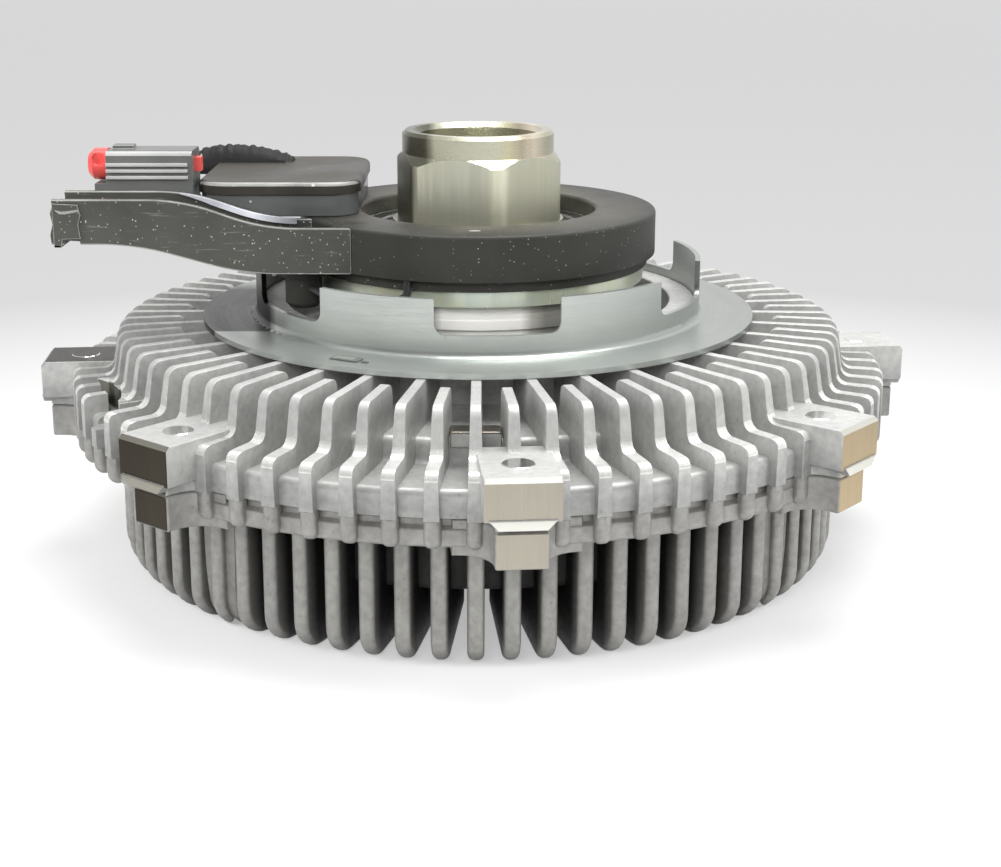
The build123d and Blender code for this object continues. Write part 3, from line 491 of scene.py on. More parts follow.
class Graph:
    """Nodes of one material or group."""

    def __init__(self, tree: bpy.types.NodeTree) -> None:
        """Starts from an empty tree."""
        self.tree = tree
        tree.nodes.clear()

    def add(self, kind: str, inputs: dict | None = None, **settings: object) -> bpy.types.Node:
        """Adds a node.

        Args:
            kind: Node type.
            inputs: Socket names or numbers with a value or an output to join.
            **settings: Properties of the node.

        Returns:
            The node.
        """
        node = self.tree.nodes.new(kind)
        for key, value in settings.items():
            setattr(node, key, value)
        for key, value in (inputs or {}).items():
            if isinstance(value, Socket):
                self.tree.links.new(value, node.inputs[key])
            else:
                node.inputs[key].default_value = value
        return node

    def group(self, effect: Effect, inputs: dict) -> bpy.types.Node:
        """Places a shared effect."""
        tree = bpy.data.node_groups[effect.value]
        return self.add("ShaderNodeGroup", inputs, node_tree=tree)

    def mottle(self, place: Socket, scale: float, contrast: float, detail: float = 3.0) -> Socket:
        """Places the cloudy effect and returns its value."""
        inputs = {"Vector": place, "Scale": scale, "Detail": detail, "Contrast": contrast}
        return self.group(Effect.MOTTLE, inputs).outputs["Value"]

    def calc(self, operation: str, *values: Socket | float, clamp: bool = False) -> Socket:
        """Adds a Math node and returns its output."""
        inputs = dict(enumerate(values))
        return self.add("ShaderNodeMath", inputs, operation=operation, use_clamp=clamp).outputs[0]

    def remap(self, value: Socket, low: float, high: float, to_low: float, to_high: float) -> Socket:
        """Adds a clamped Map Range node and returns its output."""
        bounds = {"From Min": low, "From Max": high, "To Min": to_low, "To Max": to_high}
        return self.add("ShaderNodeMapRange", {"Value": value, **bounds}).outputs["Result"]

    def noise(
        self,
        place: Socket,
        scale: Socket | float,
        detail: Socket | float = 2.0,
        roughness: float = 0.5,
    ) -> Socket:
        """Adds a Noise Texture node and returns its factor."""
        inputs = {"Vector": place, "Scale": scale, "Detail": detail, "Roughness": roughness}
        return self.add("ShaderNodeTexNoise", inputs).outputs["Fac"]

    def axes(self, place: Socket) -> bpy.types.bpy_prop_collection:
        """Splits a vector into its X, Y and Z outputs."""
        return self.add("ShaderNodeSeparateXYZ", {"Vector": place}).outputs

    def grey(self, value: Socket) -> Socket:
        """Makes a grey colour from a value."""
        return self.add("ShaderNodeCombineColor", {0: value, 1: value, 2: value}).outputs[0]

    def blend(
        self,
        amount: Socket | float,
        first: Socket | Colour,
        second: Socket | Colour,
        mode: str = "MIX",
    ) -> Socket:
        """Adds a colour Mix node.

        Args:
            amount: Share of the second colour.
            first: The colour below.
            second: The colour above.
            mode: The way they are mixed.

        Returns:
            The mixed colour.
        """
        below, above = (c if isinstance(c, Socket) else (*c, 1) for c in (first, second))
        inputs = {0: amount, 6: below, 7: above}
        return self.add("ShaderNodeMix", inputs, data_type="RGBA", blend_type=mode).outputs[2]

    def dim(self, colour: Socket, value: Socket) -> Socket:
        """Multiplies a colour by a value."""
        return self.blend(1.0, colour, self.grey(value), "MULTIPLY")

    def stops(self, value: Socket, places: tuple[tuple[float, Colour], ...]) -> Socket:
        """Adds a smooth row of colours along a value.

        Args:
            value: The value, in metres.
            places: Where each colour stands, in rising order, and the colour.

        Returns:
            The colour output.
        """
        low, high = places[0][0], places[-1][0]
        ramp = self.add("ShaderNodeValToRGB", {"Fac": self.remap(value, low, high, 0, 1)})
        row = ramp.color_ramp
        while len(row.elements) < len(places):
            row.elements.new(1.0)
        for element, (place, colour) in zip(row.elements, places):
            element.position = (place - low) / (high - low)
            element.color = (*colour, 1)
        return ramp.outputs["Color"]


class EffectLibrary:
    """Builds the node groups that materials share."""

    def start(
        self, effect: Effect, inputs: dict[str, float], outputs: dict[str, str]
    ) -> tuple[Graph, bpy.types.bpy_prop_collection]:
        """Makes a group with a vector input and its other sockets.

        Args:
            effect: The group's name.
            inputs: Value sockets with their defaults.
            outputs: Output names with the kinds of their sockets.

        Returns:
            The group's graph and the outputs of its input node.
        """
        tree = bpy.data.node_groups.new(effect.value, "ShaderNodeTree")
        tree.interface.new_socket("Vector", in_out="INPUT", socket_type="NodeSocketVector")
        for name, value in inputs.items():
            socket = tree.interface.new_socket(name, in_out="INPUT", socket_type="NodeSocketFloat")
            socket.default_value = value
        for name, kind in outputs.items():
            tree.interface.new_socket(name, in_out="OUTPUT", socket_type=f"NodeSocket{kind}")
        graph = Graph(tree)
        return graph, graph.add("NodeGroupInput").outputs

    def mottle(self) -> None:
        """Cloudy change of tone."""
        sizes = {"Scale": 60.0, "Detail": 3.0, "Contrast": 1.0}
        graph, given = self.start(Effect.MOTTLE, sizes, {"Value": "Float"})
        noise = graph.noise(given["Vector"], given["Scale"], given["Detail"], 0.55)
        spread = graph.calc("MULTIPLY", graph.calc("SUBTRACT", noise, 0.5), given["Contrast"])
        value = graph.calc("ADD", spread, 0.5, clamp=True)
        graph.add("NodeGroupOutput", {"Value": value})

    def cast_skin(self) -> None:
        """Fine grain and shallow pits of a die-cast surface."""
        graph, given = self.start(
            Effect.CAST_SKIN, {"Grain": 1400.0, "Pits": 0.5}, {"Height": "Float", "Pit": "Float"}
        )
        place = given["Vector"]
        grain = graph.noise(place, given["Grain"], 4.0, 0.7)
        swell = graph.noise(place, 180.0)
        cells = graph.add("ShaderNodeTexVoronoi", {"Vector": place, "Scale": 700.0})
        pit = graph.remap(cells.outputs["Distance"], 0.05, 0.3, 1.0, 0.0)
        where = graph.remap(graph.noise(place, 95.0), 0.52, 0.66, 0.0, 1.0)
        pit = graph.calc("MULTIPLY", graph.calc("MULTIPLY", pit, where), given["Pits"])
        height = graph.calc("SUBTRACT", graph.calc("MULTIPLY_ADD", grain, 0.35, swell), pit)
        graph.add("NodeGroupOutput", {"Height": height, "Pit": pit})

    def brushed(self) -> None:
        """Fine lines, long in one direction of the given place."""
        graph, given = self.start(
            Effect.BRUSHED,
            {"Fineness": 2600.0, "Breaks": 300.0},
            {"Height": "Float", "Tone": "Float"},
        )
        lines = graph.noise(given["Vector"], given["Fineness"], 3.0, 0.6)
        wide = graph.noise(given["Vector"], given["Breaks"], 3.0)
        tone = graph.calc("MULTIPLY_ADD", wide, 0.5, graph.calc("MULTIPLY", lines, 0.5))
        graph.add("NodeGroupOutput", {"Height": lines, "Tone": tone})

    def specks(self) -> None:
        """Small scattered marks such as dust and moulding flash."""
        sizes = {"Scale": 420.0, "Size": 0.14, "Share": 0.5}
        graph, given = self.start(Effect.SPECKS, sizes, {"Mask": "Float"})
        inputs = {"Vector": given["Vector"], "Scale": given["Scale"]}
        cells = graph.add("ShaderNodeTexVoronoi", inputs)
        rest = graph.calc("SUBTRACT", given["Size"], cells.outputs["Distance"])
        dot = graph.calc("MULTIPLY", rest, 14.0, clamp=True)
        drawn = graph.add("ShaderNodeSeparateColor", {"Color": cells.outputs["Color"]})
        kept = graph.calc("LESS_THAN", drawn.outputs[0], given["Share"])
        mask = graph.calc("MULTIPLY", graph.calc("MULTIPLY", dot, kept), drawn.outputs[1])
        graph.add("NodeGroupOutput", {"Mask": mask})

    def polar_place(self) -> None:
        """Place as radius, bearing and height, so lines can follow a turned surface."""
        graph, given = self.start(
            Effect.POLAR, {"Along": 0.003}, {"Place": "Vector", "Radius": "Float"}
        )
        across, ahead, height = graph.axes(given["Vector"])
        square = graph.calc("MULTIPLY_ADD", ahead, ahead, graph.calc("MULTIPLY", across, across))
        radius = graph.calc("SQRT", square)
        along = graph.calc("MULTIPLY", graph.calc("ARCTAN2", ahead, across), given["Along"])
        place = graph.add("ShaderNodeCombineXYZ", {0: radius, 1: along, 2: height})
        graph.add("NodeGroupOutput", {"Place": place.outputs[0], "Radius": radius})

    def build(self) -> None:
        """Builds every group."""
        for effect in Effect:
            getattr(self, effect.value)()


# Finishes


@dataclass(frozen=True)
class Finish:
    """A finish with a base colour, its darker tone and its gloss."""

    name: str
    colour: Colour
    second: Colour
    roughness: float = 0.45
    spread: float = 0.1
    metallic: float = 0.0
    bump: float = 0.15
    depth: float = 0.0001
    gloss: float = 0.5

    def material(self) -> bpy.types.Material:
        """Makes the finish's material on first use.

        Returns:
            The material.
        """
        known = bpy.data.materials.get(self.name)
        if known:
            return known
        material = bpy.data.materials.new(self.name)
        material.use_nodes = True
        material.diffuse_color = (*self.colour, 1)
        graph = Graph(material.node_tree)
        place = graph.add("ShaderNodeTexCoord").outputs["Object"]
        colour, rough, height = self.layers(graph, place)
        bump = graph.add(
            "ShaderNodeBump", {"Height": height, "Strength": self.bump, "Distance": self.depth}
        )
        shader = graph.add(
            "ShaderNodeBsdfPrincipled",
            {
                "Base Color": colour,
                "Roughness": rough,
                "Metallic": self.metallic,
                "Specular IOR Level": self.gloss,
                "Normal": bump.outputs[0],
            },
        )
        graph.add("ShaderNodeOutputMaterial", {"Surface": shader.outputs[0]})
        return material

    def rough(self, graph: Graph, value: Socket, low: float = 0.2, high: float = 0.8) -> Socket:
        """Roughness that falls while a value goes from the first bound to the second."""
        most, least = self.roughness + self.spread, self.roughness - self.spread
        return graph.remap(value, low, high, most, least)

    def layers(self, graph: Graph, place: Socket) -> tuple[Socket, Socket, Socket]:
        """Plain finish with a cloudy tone and a fine grain.

        Args:
            graph: The material's graph.
            place: Object coordinates.

        Returns:
            Colour, roughness and height.
        """
        tone = graph.mottle(place, 90.0, 1.6)
        colour = graph.blend(tone, self.second, self.colour)
        return colour, self.rough(graph, tone), graph.mottle(place, 1600.0, 1.0)


@dataclass(frozen=True)
class CastFinish(Finish):
    """Die-cast aluminium with grain, dirty pits, and painted shade low down and deep in its valleys.
    """

    pits: float = 0.6
    valley_shade_from: float = 0.0
    valley_shade_to: float = 0.0
    pit_dirt_and_shade: Colour = (0.16, 0.155, 0.15)
    shade_below: float = 0.0
    shade_above: float = 0.0
    shaded_to: float = 1.0

    def layers(self, graph: Graph, place: Socket) -> tuple[Socket, Socket, Socket]:
        """Cloudy grey, darker with dirt in its pits, with painted shade low on the rim and deep
        between the fins.

        Args:
            graph: The material's graph.
            place: Object coordinates.

        Returns:
            Colour, roughness and height.
        """
        fine = graph.mottle(place, 620.0, 1.5, 4.0)
        skin = graph.group(Effect.CAST_SKIN, {"Vector": place, "Pits": self.pits}).outputs
        colour = graph.blend(graph.mottle(place, 75.0, 1.8), self.second, self.colour)
        colour = graph.dim(colour, graph.remap(fine, 0.2, 0.8, 0.86, 1.06))
        colour = graph.blend(skin["Pit"], colour, self.pit_dirt_and_shade)
        # Painted shade, darker low on the rim
        if self.shaded_to < 1:
            up = graph.axes(place)[2]
            dimmed = graph.remap(up, self.shade_below, self.shade_above, self.shaded_to, 1.0)
            colour = graph.dim(colour, dimmed)
        # Painted shade deep between the fins, by radius
        if self.valley_shade_to > self.valley_shade_from:
            radius = graph.group(Effect.POLAR, {"Vector": place}).outputs["Radius"]
            valley_shade = graph.remap(radius, self.valley_shade_from, self.valley_shade_to, 0.92, 0.0)
            colour = graph.blend(valley_shade, colour, self.pit_dirt_and_shade)
        return colour, self.rough(graph, fine), skin["Height"]


class Lay(Enum):
    """The way a brushed or turned finish runs."""

    ROUND = "round the axis"
    UPRIGHT = "along the axis"


@dataclass(frozen=True)
class PaintedShadow:
    """A painted shadow on part of a piece, bounded in metres, and the width of each side's fade."""

    right_x: float
    front_y: float
    back_y: float
    side_fade: float = 0.001
    front_fade: float = 0.0006
    back_fade: float = 0.006
    share: float = 0.96
    colour: Colour = (0.018, 0.019, 0.017)

    def over(self, graph: Graph, place: Socket, colour: Socket) -> Socket:
        """Lays the painted shadow over a colour.

        Args:
            graph: The material's graph.
            place: Object coordinates.
            colour: The colour of the piece outside the shadow.

        Returns:
            The colour with the film.
        """
        across, ahead, _ = graph.axes(place)
        left, right = self.right_x - self.side_fade, self.right_x + self.side_fade
        beside = graph.remap(across, left, right, self.share, 0.0)
        near, far = self.front_y - self.front_fade, self.front_y + self.front_fade
        behind_front = graph.remap(ahead, near, far, 0.0, 1.0)
        near, far = self.back_y - self.back_fade, self.back_y + self.back_fade
        before_back = graph.remap(ahead, near, far, 1.0, 0.0)
        # Mask of the painted shadow
        film = graph.calc("MULTIPLY", beside, graph.calc("MULTIPLY", behind_front, before_back))
        return graph.blend(film, colour, self.colour)


@dataclass(frozen=True)
class BrushedFinish(Finish):
    """Metal with fine lines round or along the axis, a bloom of other colours, painted bands of light
    and shade across X and a painted shadow where set.
    """

    lay: Lay = Lay.ROUND
    bloom: Colour = (0.6, 0.6, 0.6)
    bloom_share: float = 0.3
    fineness: float = 2600.0
    painted_light_bands: tuple[tuple[float, Colour], ...] = ()
    painted_shadow: PaintedShadow | None = None

    def layers(self, graph: Graph, place: Socket) -> tuple[Socket, Socket, Socket]:
        """Lines in tone and height over a cloudy bloom, with painted bands of light and shade and a
        painted shadow where set.

        Args:
            graph: The material's graph.
            place: Object coordinates.

        Returns:
            Colour, roughness and height.
        """
        if self.lay is Lay.ROUND:
            lined = graph.group(Effect.POLAR, {"Vector": place}).outputs["Place"]
        else:
            inputs = {"Vector": place, "Scale": (1.0, 1.0, 0.03)}
            lined = graph.add("ShaderNodeMapping", inputs).outputs[0]
        inputs = {"Vector": lined, "Fineness": self.fineness}
        brushed = graph.group(Effect.BRUSHED, inputs).outputs
        colour = graph.blend(brushed["Tone"], self.second, self.colour)
        share = graph.calc("MULTIPLY", graph.mottle(place, 110.0, 2.6), self.bloom_share)
        colour = graph.blend(share, colour, self.bloom)
        # Painted light and shade: colour bands along X that stand in for reflections, highlights and
        # shade
        if self.painted_light_bands:
            painted_tone = graph.stops(graph.axes(place)[0], self.painted_light_bands)
            colour = graph.blend(1.0, colour, painted_tone, "MULTIPLY")
        # Painted shadow, where set
        if self.painted_shadow:
            colour = self.painted_shadow.over(graph, place, colour)
        return colour, self.rough(graph, brushed["Tone"], 0.3, 0.7), brushed["Height"]


@dataclass(frozen=True)
class PlasticFinish(Finish):
    """Moulded plastic with a satin grain, scuffs and pale dust."""

    dust: Colour = (0.45, 0.44, 0.42)
    dust_share: float = 0.35
    dust_scale: float = 420.0
    film: float = 0.25
    worn: Colour = (0.3, 0.28, 0.23)
    worn_from: float = 0.0
    worn_to: float = 0.0
    scratches: float = 0.0

    def layers(self, graph: Graph, place: Socket) -> tuple[Socket, Socket, Socket]:
        """Dark base under a thin film, with specks of dust and wear near the axis.

        Args:
            graph: The material's graph.
            place: Object coordinates.

        Returns:
            Colour, roughness and height.
        """
        tone = graph.mottle(place, 55.0, 2.2)
        colour = graph.blend(graph.calc("MULTIPLY", tone, self.film), self.colour, self.second)
        if self.worn_to > self.worn_from:
            radius = graph.group(Effect.POLAR, {"Vector": place}).outputs["Radius"]
            near = graph.remap(radius, self.worn_from, self.worn_to, 0.75, 0.0)
            colour = graph.blend(graph.calc("MULTIPLY", near, tone), colour, self.worn)
        if self.scratches:
            inputs = {"Vector": place, "Rotation": (0, 0.15, 0), "Scale": (0.07, 1.0, 1.0)}
            lined = graph.add("ShaderNodeMapping", inputs).outputs[0]
            streak = graph.remap(graph.mottle(lined, 1500.0, 2.2), 0.80, 0.95, 0.0, self.scratches)
            colour = graph.blend(streak, colour, self.dust)
        inputs = {"Vector": place, "Scale": self.dust_scale, "Size": 0.2, "Share": self.dust_share}
        specks = graph.group(Effect.SPECKS, inputs).outputs["Mask"]
        colour = graph.blend(specks, colour, self.dust)
        return colour, self.rough(graph, tone, 0.8, 0.2), graph.mottle(place, 1500.0, 1.4, 4.0)


CASTING = CastFinish(
    "cast_aluminium", (0.64, 0.64, 0.62), (0.48, 0.48, 0.47),
    roughness=0.5, spread=0.07, metallic=0.5, bump=0.5, depth=0.00012,
    # Painted shade: darker low on the flange and the rim
    pits=0.3, shade_below=0.0375, shade_above=0.0445, shaded_to=0.68,
)
# Bright, smooth finish: painted highlights at the fins' bends and on the level land
PAINTED_HIGHLIGHT = CastFinish(
    "cast_aluminium_painted_highlight", (0.9, 0.9, 0.87), (0.8, 0.8, 0.77),
    roughness=0.3, spread=0.06, metallic=0.6, bump=0.2, depth=0.00006, pits=0.0,
)
# Lower casting painted darker than the upper one as shade, near black deep between its fins as painted
# shade
SHADED_COVER_CASTING = CastFinish(
    "cast_aluminium_cover_painted_shade", (0.40, 0.395, 0.375), (0.29, 0.285, 0.27),
    roughness=0.5, spread=0.07, metallic=0.6, bump=0.5, depth=0.00012,
    pits=0.3, valley_shade_from=0.0815, valley_shade_to=0.0858, pit_dirt_and_shade=(0.012, 0.012, 0.012),
)
MACHINED = BrushedFinish(
    "machined_face", (0.50, 0.48, 0.43), (0.40, 0.38, 0.34),
    roughness=0.3, spread=0.05, metallic=1.0, bump=0.1, depth=0.00003,
    lay=Lay.UPRIGHT, bloom=(0.5, 0.46, 0.39),
    # Painted reflections: dark brown faces on the left, pale in front, tan on the right
    painted_light_bands=(
        (-0.085, (0.06, 0.052, 0.04)),
        (-0.060, (0.11, 0.1, 0.08)),
        (-0.030, (0.9, 0.88, 0.84)),
        (0.030, (0.92, 0.9, 0.85)),
        (0.070, (1.0, 0.82, 0.55)),
        (0.095, (1.0, 0.84, 0.6)),
    ),
)
# Brighter copy of the machined finish: painted highlight on the ears' chamfers and ledges
EAR_EDGE = BrushedFinish(
    "machined_edge", (0.88, 0.88, 0.84), (0.74, 0.74, 0.7),
    roughness=0.3, spread=0.05, metallic=0.8, bump=0.1, depth=0.00003, bloom=(0.7, 0.7, 0.66),
    # Painted shade, darker on the left
    painted_light_bands=(
        (-0.085, (0.3, 0.29, 0.26)),
        (-0.060, (0.4, 0.38, 0.34)),
        (-0.030, (1.0, 1.0, 0.98)),
        (0.095, (0.85, 0.84, 0.8)),
    ),
)
SPOT = Finish(
    "ejector_spot", (0.9, 0.9, 0.88), (0.8, 0.8, 0.78),
    roughness=0.16, spread=0.04, metallic=1.0, bump=0.1, depth=0.00003,
)
SHEET = BrushedFinish(
    "plated_sheet_metal", (0.78, 0.815, 0.78), (0.62, 0.655, 0.625),
    roughness=0.33, spread=0.06, metallic=0.9, bump=0.5,
    bloom=(0.60, 0.635, 0.61), bloom_share=0.35,
    # Painted shade: darker towards both sides, most at the right
    painted_light_bands=(
        (-0.066, (0.8, 0.8, 0.8)),
        (-0.030, (1.0, 1.0, 1.0)),
        (0.020, (1.0, 1.0, 1.0)),
        (0.050, (0.62, 0.62, 0.62)),
        (0.066, (0.55, 0.55, 0.55)),
    ),
    # Painted shadow of the arm and the box above, laid on the wheel beneath them
    painted_shadow=PaintedShadow(right_x=-0.0469, front_y=-0.0276, back_y=0.024),
)
STAMPED = Finish(
    "stamped_mark", (0.33, 0.35, 0.33), (0.24, 0.25, 0.24),
    roughness=0.5, spread=0.06, metallic=0.8, bump=0.3, depth=0.00005,
)
HUB_ZINC = BrushedFinish(
    "hub_zinc", (0.98, 0.98, 0.84), (0.62, 0.63, 0.54),
    roughness=0.36, spread=0.08, metallic=0.85, bump=0.35, depth=0.00006,
    lay=Lay.UPRIGHT, bloom=(0.78, 0.74, 0.58), fineness=1500.0,
    # Painted reflections: dark bands on the left, painted highlight bands above 1 just right of the
    # middle
    painted_light_bands=(
        (-0.0190, (0.3, 0.3, 0.27)),
        (-0.0155, (0.2, 0.2, 0.18)),
        (-0.0146, (0.9, 0.9, 0.86)),
        (0.0020, (0.95, 0.95, 0.92)),
        (0.0036, (1.25, 1.25, 1.15)),
        (0.0060, (1.25, 1.25, 1.15)),
        (0.0072, (0.85, 0.85, 0.8)),
        (0.0200, (0.75, 0.75, 0.7)),
    ),
)
HUB_TURNED = BrushedFinish(
    "hub_turned_zinc", (0.84, 0.84, 0.72), (0.70, 0.70, 0.60),
    roughness=0.26, spread=0.05, metallic=0.85, depth=0.00003,
    bloom=(0.80, 0.76, 0.52), bloom_share=0.35,
    # Painted reflections: dark bands on the left, pale and warm bands towards the right
    painted_light_bands=(
        (-0.0190, (0.3, 0.3, 0.28)),
        (-0.0165, (0.16, 0.16, 0.14)),
        (-0.0120, (0.2, 0.2, 0.18)),
        (-0.0100, (0.75, 0.75, 0.7)),
        (0.0040, (1.0, 1.0, 0.95)),
        (0.0070, (1.0, 0.95, 0.78)),
        (0.0100, (0.7, 0.62, 0.55)),
        (0.0130, (1.0, 0.9, 0.86)),
        (0.0160, (0.6, 0.58, 0.54)),
        (0.0200, (0.5, 0.5, 0.46)),
    ),
)
CUP_ZINC = BrushedFinish(
    "cup_zinc", (0.76, 0.83, 0.74), (0.52, 0.60, 0.54),
    roughness=0.3, spread=0.05, metallic=0.7, depth=0.00003,
    lay=Lay.UPRIGHT, bloom=(0.78, 0.74, 0.46), bloom_share=0.5, fineness=900.0,
)
# Near-white with little metal: painted reflection on the ring inside the wheel's notch
TURNED = BrushedFinish(
    "turned_steel_painted_light", (0.97, 0.965, 0.94), (0.88, 0.87, 0.84),
    roughness=0.34, spread=0.05, metallic=0.1, bump=0.2, depth=0.00004,
    bloom=(0.85, 0.82, 0.77), bloom_share=0.25,
    # Painted shade, dark at both ends of the notch
    painted_light_bands=(
        (-0.0105, (0.3, 0.3, 0.28)),
        (-0.0080, (1.0, 1.0, 1.0)),
        (0.0095, (1.0, 1.0, 1.0)),
        (0.0120, (0.5, 0.48, 0.46)),
        (0.0150, (0.25, 0.25, 0.24)),
    ),
)
GROUND_STEEL = Finish(
    "ground_bearing_steel", (0.62, 0.62, 0.62), (0.52, 0.52, 0.52),
    roughness=0.2, spread=0.05, metallic=1.0, bump=0.05, depth=0.00002,
)
DARK_STEEL = Finish(
    "blackened_steel", (0.1, 0.1, 0.1), (0.06, 0.06, 0.06),
    roughness=0.35, spread=0.08, metallic=0.8, depth=0.00004,
)
SCREW_STEEL = Finish(
    "zinc_screw_steel", (0.55, 0.56, 0.55), (0.42, 0.43, 0.42),
    roughness=0.3, spread=0.08, metallic=1.0, depth=0.00004,
)
PLASTIC = PlasticFinish(
    "glass_filled_plastic", (0.045, 0.046, 0.041), (0.10, 0.10, 0.087),
    roughness=0.42, spread=0.09, bump=0.35, depth=0.00008,
    dust=(0.5, 0.49, 0.45), dust_share=0.9, dust_scale=1100.0, film=0.6, scratches=0.16,
)
# Pale edge finish: partly wear, partly a painted highlight along rounded edges
WORN_AND_HIGHLIGHTED_EDGE = PlasticFinish(
    "worn_and_highlighted_plastic_edge", (0.14, 0.14, 0.13), (0.50, 0.50, 0.47),
    roughness=0.34, spread=0.08, bump=0.3, depth=0.00006,
    dust=(0.6, 0.6, 0.58), dust_share=0.5, film=0.8,
)
RING_PLASTIC = PlasticFinish(
    "ring_plastic", (0.024, 0.024, 0.0215), (0.058, 0.057, 0.05),
    roughness=0.5, spread=0.06, bump=0.3, depth=0.00006, gloss=0.3,
    dust_share=0.25, dust_scale=1300.0, film=0.5,
    worn=(0.16, 0.15, 0.115), worn_from=0.030, worn_to=0.041,
)
BOX_PLASTIC = PlasticFinish(
    "box_plastic", (0.07, 0.075, 0.075), (0.15, 0.155, 0.15),
    roughness=0.25, spread=0.06, bump=0.25, depth=0.00006, dust_share=0.15, film=0.6,
)
LID_PLASTIC = PlasticFinish(
    "lid_plastic", (0.022, 0.02, 0.017), (0.07, 0.063, 0.05),
    roughness=0.42, spread=0.08, bump=0.25, depth=0.00006, gloss=0.3,
    dust=(0.3, 0.29, 0.25), dust_share=0.12, film=0.7,
)
CONNECTOR_PLASTIC = PlasticFinish(
    "connector_plastic", (0.10, 0.104, 0.10), (0.25, 0.255, 0.24),
    roughness=0.34, spread=0.05, bump=0.2, depth=0.00005, dust_share=0.05, film=0.4,
)
# Pale rib finish: partly wear, partly a painted highlight on the ribs and the sloping shoulder
RIB_WORN_AND_HIGHLIGHTED = PlasticFinish(
    "connector_rib_worn_and_highlighted", (0.32, 0.325, 0.32), (0.58, 0.58, 0.565),
    roughness=0.36, spread=0.06, bump=0.2, depth=0.00005, dust_share=0.05, film=0.8,
)
LOCK_PLASTIC = Finish(
    "lock_red_plastic", (0.85, 0.115, 0.1), (0.76, 0.08, 0.075),
    roughness=0.28, spread=0.05, bump=0.08, depth=0.00003,
)
CABLE = PlasticFinish(
    "cable_sheath", (0.022, 0.023, 0.024), (0.06, 0.06, 0.062),
    roughness=0.24, spread=0.06, bump=0.12, depth=0.00004, dust_share=0.03, film=0.3,
)
LOOM = PlasticFinish(
    "loom_tape", (0.012, 0.012, 0.012), (0.035, 0.035, 0.033),
    roughness=0.6, bump=0.5, depth=0.00015, gloss=0.2, dust_share=0.05, film=0.5,
)
# Pale bluish colour: painted sheen on the harness's top
RIBBON_SHEEN = PlasticFinish(
    "harness_sheen_ribbon", (0.16, 0.165, 0.18), (0.85, 0.86, 0.92),
    roughness=0.16, spread=0.05, bump=0.12, depth=0.00004, dust_share=0.03, film=0.9,
)
# Dark sheath under a pale bluish overlay that paints its sheen
HARNESS_SHEEN = PlasticFinish(
    "harness_sheath_painted_sheen", (0.035, 0.036, 0.04), (0.27, 0.28, 0.31),
    roughness=0.2, spread=0.06, bump=0.12, depth=0.00004, gloss=0.8, dust_share=0.03, film=0.7,
)
RUBBER = Finish("seal_rubber", (0.03,) * 3, (0.018,) * 3, roughness=0.6, spread=0.08)
CAGE = Finish("cage_polymer", (0.52, 0.38, 0.18), (0.42, 0.3, 0.14), roughness=0.5, spread=0.06)
BOBBIN = Finish("bobbin_polymer", (0.72, 0.68, 0.56), (0.6, 0.57, 0.46), roughness=0.5, spread=0.06)
COPPER = BrushedFinish(
    "copper_winding", (0.78, 0.34, 0.14), (0.52, 0.2, 0.08),
    roughness=0.3, spread=0.06, metallic=1.0, bump=0.8, depth=0.0002,
    bloom=(0.6, 0.28, 0.12), fineness=1900.0,
)
BOARD = Finish("board_lacquer", (0.03, 0.2, 0.09), (0.02, 0.14, 0.06), roughness=0.3, spread=0.05)
ROTOR_METAL = CastFinish(
    "rotor_aluminium", (0.7, 0.7, 0.7), (0.58, 0.58, 0.58),
    roughness=0.32, spread=0.06, metallic=0.95, bump=0.3, depth=0.00008,
)
PAINT_GREEN = Finish(
    "paint_green", (0.02, 0.23, 0.13), (0.015, 0.17, 0.1), roughness=0.5, spread=0.08
)

CARRIED: dict[Finish, tuple[str, ...]] = {
    GROUND_STEEL: (
        "main_bearing_outer",
        "main_bearing_inner",
        "main_bearing_balls",
        "coil_bearing_outer",
        "coil_bearing_inner",
        "coil_bearing_balls",
        "coil_bearing_shields",
        "valve_pin",
    ),
    CAGE: ("main_bearing_cage", "coil_bearing_cage"),
    RUBBER: ("main_bearing_seals", "rim_seal", "valve_pad"),
    DARK_STEEL: ("bearing_circlip", "coil_bearing_circlip"),
    SCREW_STEEL: ("rotor_nut", "cover_screws", "fill_plug"),
    ROTOR_METAL: ("rotor_disc",),
    SHEET: ("reservoir_plate",),
    TURNED: ("valve_armature",),
    BOBBIN: ("coil_bobbin",),
    COPPER: ("coil_winding",),
    BOARD: ("circuit_board",),
}


# Sub-assemblies, sized in millimetres


@dataclass
class FinForm:
    """Sizes that both castings share."""

    count: int = 72
    phase: float = -0.3
    rim_r: float = 96.8
    rim_wall_r: float = 95.0
    drum_r: float = 78.0
    cavity_r: float = 74.0
    parting_z: float = 35.5
    sink: float = 1.5
    turn_steps: int = 216

    def ranks(self, long_fin: Shape, short_fin: Shape) -> list[Shape]:
        """Sets long and short fins round the casing in turn.

        Args:
            long_fin: A long fin along +X. It is freed.
            short_fin: A short fin along +X. It is freed.

        Returns:
            All the long fins and all the short ones.
        """
        half, step = self.count // 2, 360 / self.count
        return [
            ring_of(long_fin, half, self.phase),
            ring_of(short_fin, half, self.phase + step),
        ]


